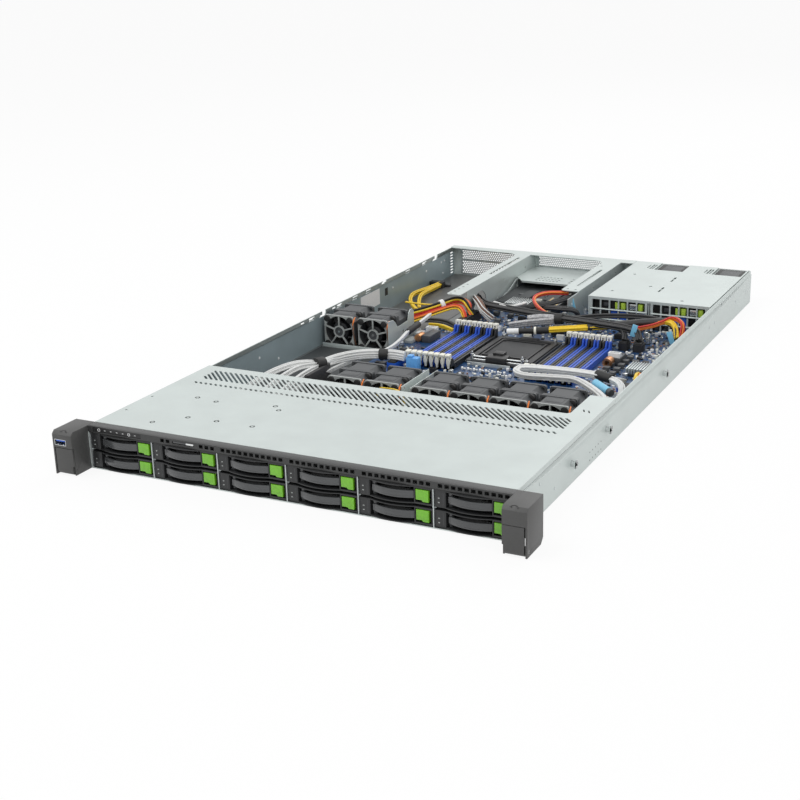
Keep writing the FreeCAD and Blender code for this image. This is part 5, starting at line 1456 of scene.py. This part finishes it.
    # Sleeved bundles: braid before the supplies, leads from the bay's opening, black over the flat cable
    braid = bundles(
        (4, 3.2, [(-8, 538, 21), (5, 537, 25), (18, 540, 27), (32, 543, 29), (46, 550, 30)]),
        (2, 1.8, [(14, 541, 32), (25, 546, 33.5), (36, 548, 34), (48, 552, 33)]),
    )
    wires("braided_sleeves", "chassis", braid, 2.1, BRAID)
    leads = bundle_routes([(-99, 630, 24), (-90, 618, 28), (-80, 600, 31), (-70, 587, 30), (-61, 577, 24),
                           (-50, 580, 14)], 12, 5)
    wires("bay_leads_brown", "chassis", leads[::3], 1, WIRE_BROWN)
    wires("bay_leads_grey", "chassis", leads[1::3], 1, BRAID)
    wires("bay_leads_white", "chassis", leads[2::3], 0.8, WIRE_WHITE)
    wires("flat_sleeve", "chassis", [[(92, 537, 29.5), (122, 558, 30), (150, 578, 31.5), (176, 585, 33)]],
          4.6, SLEEVE)

    # Ties and wraps on the looms
    trim = Shape()
    for start, end, radius, coat in (
        ((-141.5, 295, 27), (-137.8, 307, 25.5), 7, RUBBER),
        ((-96, 362, 24.8), (-86, 364.6, 24.8), 6.4, RUBBER),
        ((-104.6, 452, 25.8), (-105.2, 482, 27.8), 3.9, RUBBER),
        ((167, 358, 33.5), (186, 349.6, 33), 5.2, RUBBER),
        ((173, 334, 32), (193, 319, 29.6), 4.4, CLIP_BLUE),
        ((192, 319.8, 29.7), (197, 316, 29), 4, FAN_GREY),
        ((-119, 573, 26.2), (-115.6, 577, 27.4), 7.4, WHITE),
        ((46, 551, 31.8), (56, 552, 32.6), 6.6, RUBBER),
        ((14, 513, 23), (32, 518, 24), 3.4, RUBBER),
        ((34, 518.6, 24.2), (50, 522, 25.6), 4.2, RUBBER),
        ((31.6, 518, 24), (34.4, 518.8, 24.2), 4.8, CREAM),
        ((0, 509, 22), (14, 513, 23), 3.6, WHITE),
    ):
        trim.rod(start, end, radius, coat, 28, soft=0.5)
    trim.box(-136.4, -131.4, 262, 312, 6, 25, SLEEVE, 1.6)
    for place, turn in (((150, 541.5, 31), 14), ((192, 552, 24), -20)):
        at = Matrix.Translation(place) @ Matrix.Rotation(math.radians(turn), 4, "Y")
        trim.box(-3.2, 3.2, -5.2, -4.2, -7, 8, CLIP_BLUE, 0.4, at)
    trim.done("loom_wraps", "chassis")


# Small parts on the casing
STUD_PLACES = (138, 236, 427)
STUD_Z = 20.5
STUD_HEAD = 4.6
STUD_NECK = 3.02


def make_casing_parts():
    trim = Shape()
    # Dark insulating sheet on the floor before the rear-left fans, and its clip
    trim.box(-214, -92, 300, 432, 1.02, 1.5, DARK_SHEET, 0.1)
    trim.box(-214, -140, 140, 300, 1.02, 1.5, DARK_SHEET, 0.1)
    trim.box(-190.5, -183.5, 376, 380, 1.4, 3.2, STEEL, 0.3)
    trim.box(-188.2, -185.8, 371, 385, 3, 4.2, STEEL, 0.3)
    # Plate beside the rear-left fans, with its raised tab
    plate = [(434, 1), (521, 1), (521, 10), (503, 13), (501.5, 38), (498, 41.6), (493, 42), (488, 38),
             (486, 29.5), (458, 28.5), (453, 35), (447, 40), (434, 41)]
    trim.sheet([plate, circle(472, 20, 1.8, 16)], SHEET, ZINC, upright_y(-122.2))
    trim.box(-122, -112, 484, 514, 1, 2.2, ZINC, 0.3)
    # Low sheet before the rear-left fans, and the walls between the two front groups of fans
    trim.box(-213.6, -122.6, 434.4, 435.2, 1, 6, ZINC, 0.2)
    for x in (-1.6, 9):
        trim.box(x, x + SHEET, 230, 296, 1, 38, ZINC, 0.2)
    trim.box(-1.6, 10, 262, 263, 1, 32, ZINC, 0.2)
    # Floor sheet of the left card bay, and the socket at its end
    trim.box(-215, -119.6, 520, 826, 1.02, 1.4, BAY_SHEET, 0.1)
    trim.box(-216.6, -196, 742, 752, 1.4, 10, RUBBER, 0.6)
    trim.box(-214, -190, 752, 758, 1.4, 5, SLEEVE, 0.6)
    # Screws along both walls, and marks on the right one
    for y, z in ((721, 35), (676, 37), (747, 20.5), (804, 21), (643, 21), (619, 20.5), (96, 12), (60, 30)):
        for side in (-1, 1):
            trim.rod((side * HALF, y, z), (side * (HALF + 0.35), y, z), 1.7, ZINC_BRUSHED, 20, soft=0.1)
    for y in (189, 197, 205, 213, 221):
        for z in (5, 13):
            trim.rod((HALF - 0.4, y, z), (HALF + 0.06, y, z), 0.7, DARK_SHEET, 12)
    # Rack rail studs: steel heads over the solid ones
    for y in STUD_PLACES:
        for side in (-1, 1):
            neck = side * (HALF + 4)
            trim.rod((side * (HALF + 3.9), y, STUD_Z), (side * (HALF + 5.2), y, STUD_Z), STUD_HEAD, STEEL, 28,
                     soft=0.3)
            trim.rod((side * HALF, y, STUD_Z), (neck, y, STUD_Z), STUD_NECK, STEEL, 24)
    # Rivets on the rear shelf
    for x in (-196, -150, -60, -20, 30):
        trim.rod((x, 823, TOP - 0.1), (x, 823, TOP - 0.01), 1.6, ZINC_BRUSHED, 18)
    trim.done("casing_fittings", "chassis")


# Studio: pale floor, soft lamps, and the camera that the photograph was taken with
def white_to_camera(tree):
    """Shows white to the camera, gloss and glass, and lights everything else plainly."""
    nodes = tree.nodes
    links = tree.links
    path = nodes.new("ShaderNodeLightPath")
    first = nodes.new("ShaderNodeMath")
    first.operation = "MAXIMUM"
    seen = nodes.new("ShaderNodeMath")
    seen.operation = "MAXIMUM"
    links.new(path.outputs["Is Camera Ray"], first.inputs[0])
    links.new(path.outputs["Is Glossy Ray"], first.inputs[1])
    links.new(first.outputs[0], seen.inputs[0])
    links.new(path.outputs["Is Transmission Ray"], seen.inputs[1])
    return seen


PLAIN_LIGHT = 0.62
FLOOR_REACH = 30.0
FLOOR_GLOW = 0.9


def make_studio():
    scene = bpy.context.scene
    scene.view_settings.view_transform = "Standard"
    world = bpy.data.worlds.new("studio")
    scene.world = world
    world.use_nodes = True
    nodes = world.node_tree.nodes
    links = world.node_tree.links
    plain = nodes["Background"]
    plain.inputs["Color"].default_value = (1, 1, 1, 1)
    plain.inputs["Strength"].default_value = PLAIN_LIGHT
    bright = nodes.new("ShaderNodeBackground")
    bright.inputs["Color"].default_value = (1, 1, 1, 1)
    bright.inputs["Strength"].default_value = 1.0
    mix = nodes.new("ShaderNodeMixShader")
    seen = white_to_camera(world.node_tree)
    links.new(seen.outputs[0], mix.inputs["Fac"])
    links.new(plain.outputs[0], mix.inputs[1])
    links.new(bright.outputs[0], mix.inputs[2])
    links.new(mix.outputs[0], nodes["World Output"].inputs["Surface"])

    floor_mesh = bpy.data.meshes.new("floor")
    corners = rectangle(-FLOOR_REACH, FLOOR_REACH, -FLOOR_REACH, FLOOR_REACH)
    floor_mesh.from_pydata([(x, y, -0.0005) for x, y in corners], [], [(0, 1, 2, 3)])
    floor = linked("floor", floor_mesh)
    paint = bpy.data.materials.new("floor_paint")
    paint.use_nodes = True
    tree = paint.node_tree
    shader = tree.nodes["Principled BSDF"]
    shader.inputs["Base Color"].default_value = (0.9, 0.9, 0.9, 1)
    shader.inputs["Roughness"].default_value = 0.9
    glow = tree.nodes.new("ShaderNodeEmission")
    glow.inputs["Strength"].default_value = 1.0
    blend = tree.nodes.new("ShaderNodeMixShader")
    share = tree.nodes.new("ShaderNodeMath")
    share.operation = "MULTIPLY"
    share.inputs[1].default_value = FLOOR_GLOW
    seen = white_to_camera(tree)
    tree.links.new(seen.outputs[0], share.inputs[0])
    tree.links.new(share.outputs[0], blend.inputs["Fac"])
    tree.links.new(shader.outputs[0], blend.inputs[1])
    tree.links.new(glow.outputs[0], blend.inputs[2])
    tree.links.new(blend.outputs[0], tree.nodes["Material Output"].inputs["Surface"])
    floor_mesh.materials.append(paint)

    for name, place, size, power in (
        ("key", (-1.2, -0.9, 2.2), 1.6, 22.0),
        ("fill", (1.8, -1.6, 1.6), 1.8, 15.0),
        ("back", (0.2, 2.0, 1.9), 1.6, 16.0),
    ):
        lamp = bpy.data.lights.new(name, "AREA")
        lamp.size = size
        lamp.energy = power
        holder = linked(name, lamp)
        holder.location = place
        holder.rotation_mode = "QUATERNION"
        holder.rotation_quaternion = (-Vector(place)).to_track_quat("-Z", "Y")


# Place of the camera round the object, in degrees and millimetres of the drawn frame
CAMERA_AZIMUTH = 25.73
CAMERA_ELEVATION = 18.94
CAMERA_ROLL = -1.18
CAMERA_DISTANCE = 1138.76
CAMERA_TARGET = (154.05, 0.0, 117.93)
CAMERA_LENS = 62.24


def make_camera():
    data = bpy.data.cameras.new("camera")
    data.lens = CAMERA_LENS
    data.sensor_width = 36.0
    data.shift_x = -0.05
    data.shift_y = -0.001
    data.clip_start = 0.05
    data.clip_end = 50.0
    azimuth = math.radians(CAMERA_AZIMUTH)
    elevation = math.radians(CAMERA_ELEVATION)
    back = Vector((math.sin(azimuth) * math.cos(elevation), -math.cos(azimuth) * math.cos(elevation),
                   math.sin(elevation)))
    camera = linked("camera", data)
    camera.location = TO_ROW @ (Vector(CAMERA_TARGET) + back * CAMERA_DISTANCE)
    camera.rotation_mode = "QUATERNION"
    roll = Quaternion((0, 0, 1), math.radians(CAMERA_ROLL))
    camera.rotation_quaternion = (-back).to_track_quat("-Z", "Y") @ roll
    bpy.context.scene.camera = camera


make_tray_casing()
make_drive_cage()
make_cover()
make_bezel()
make_ears()
for number in range(1, ROWS * COLUMNS + 1):
    make_tray(number)
    make_lever(number)
    make_latch(number)

make_fans()
for number in range(1, FAN_COUNT + 1):
    make_rotor(number)
make_memory()
make_socket()
make_boards()
make_cage()
for number in (1, 2):
    make_supply(number)
make_looms()
make_casing_parts()

make_studio()
make_camera()
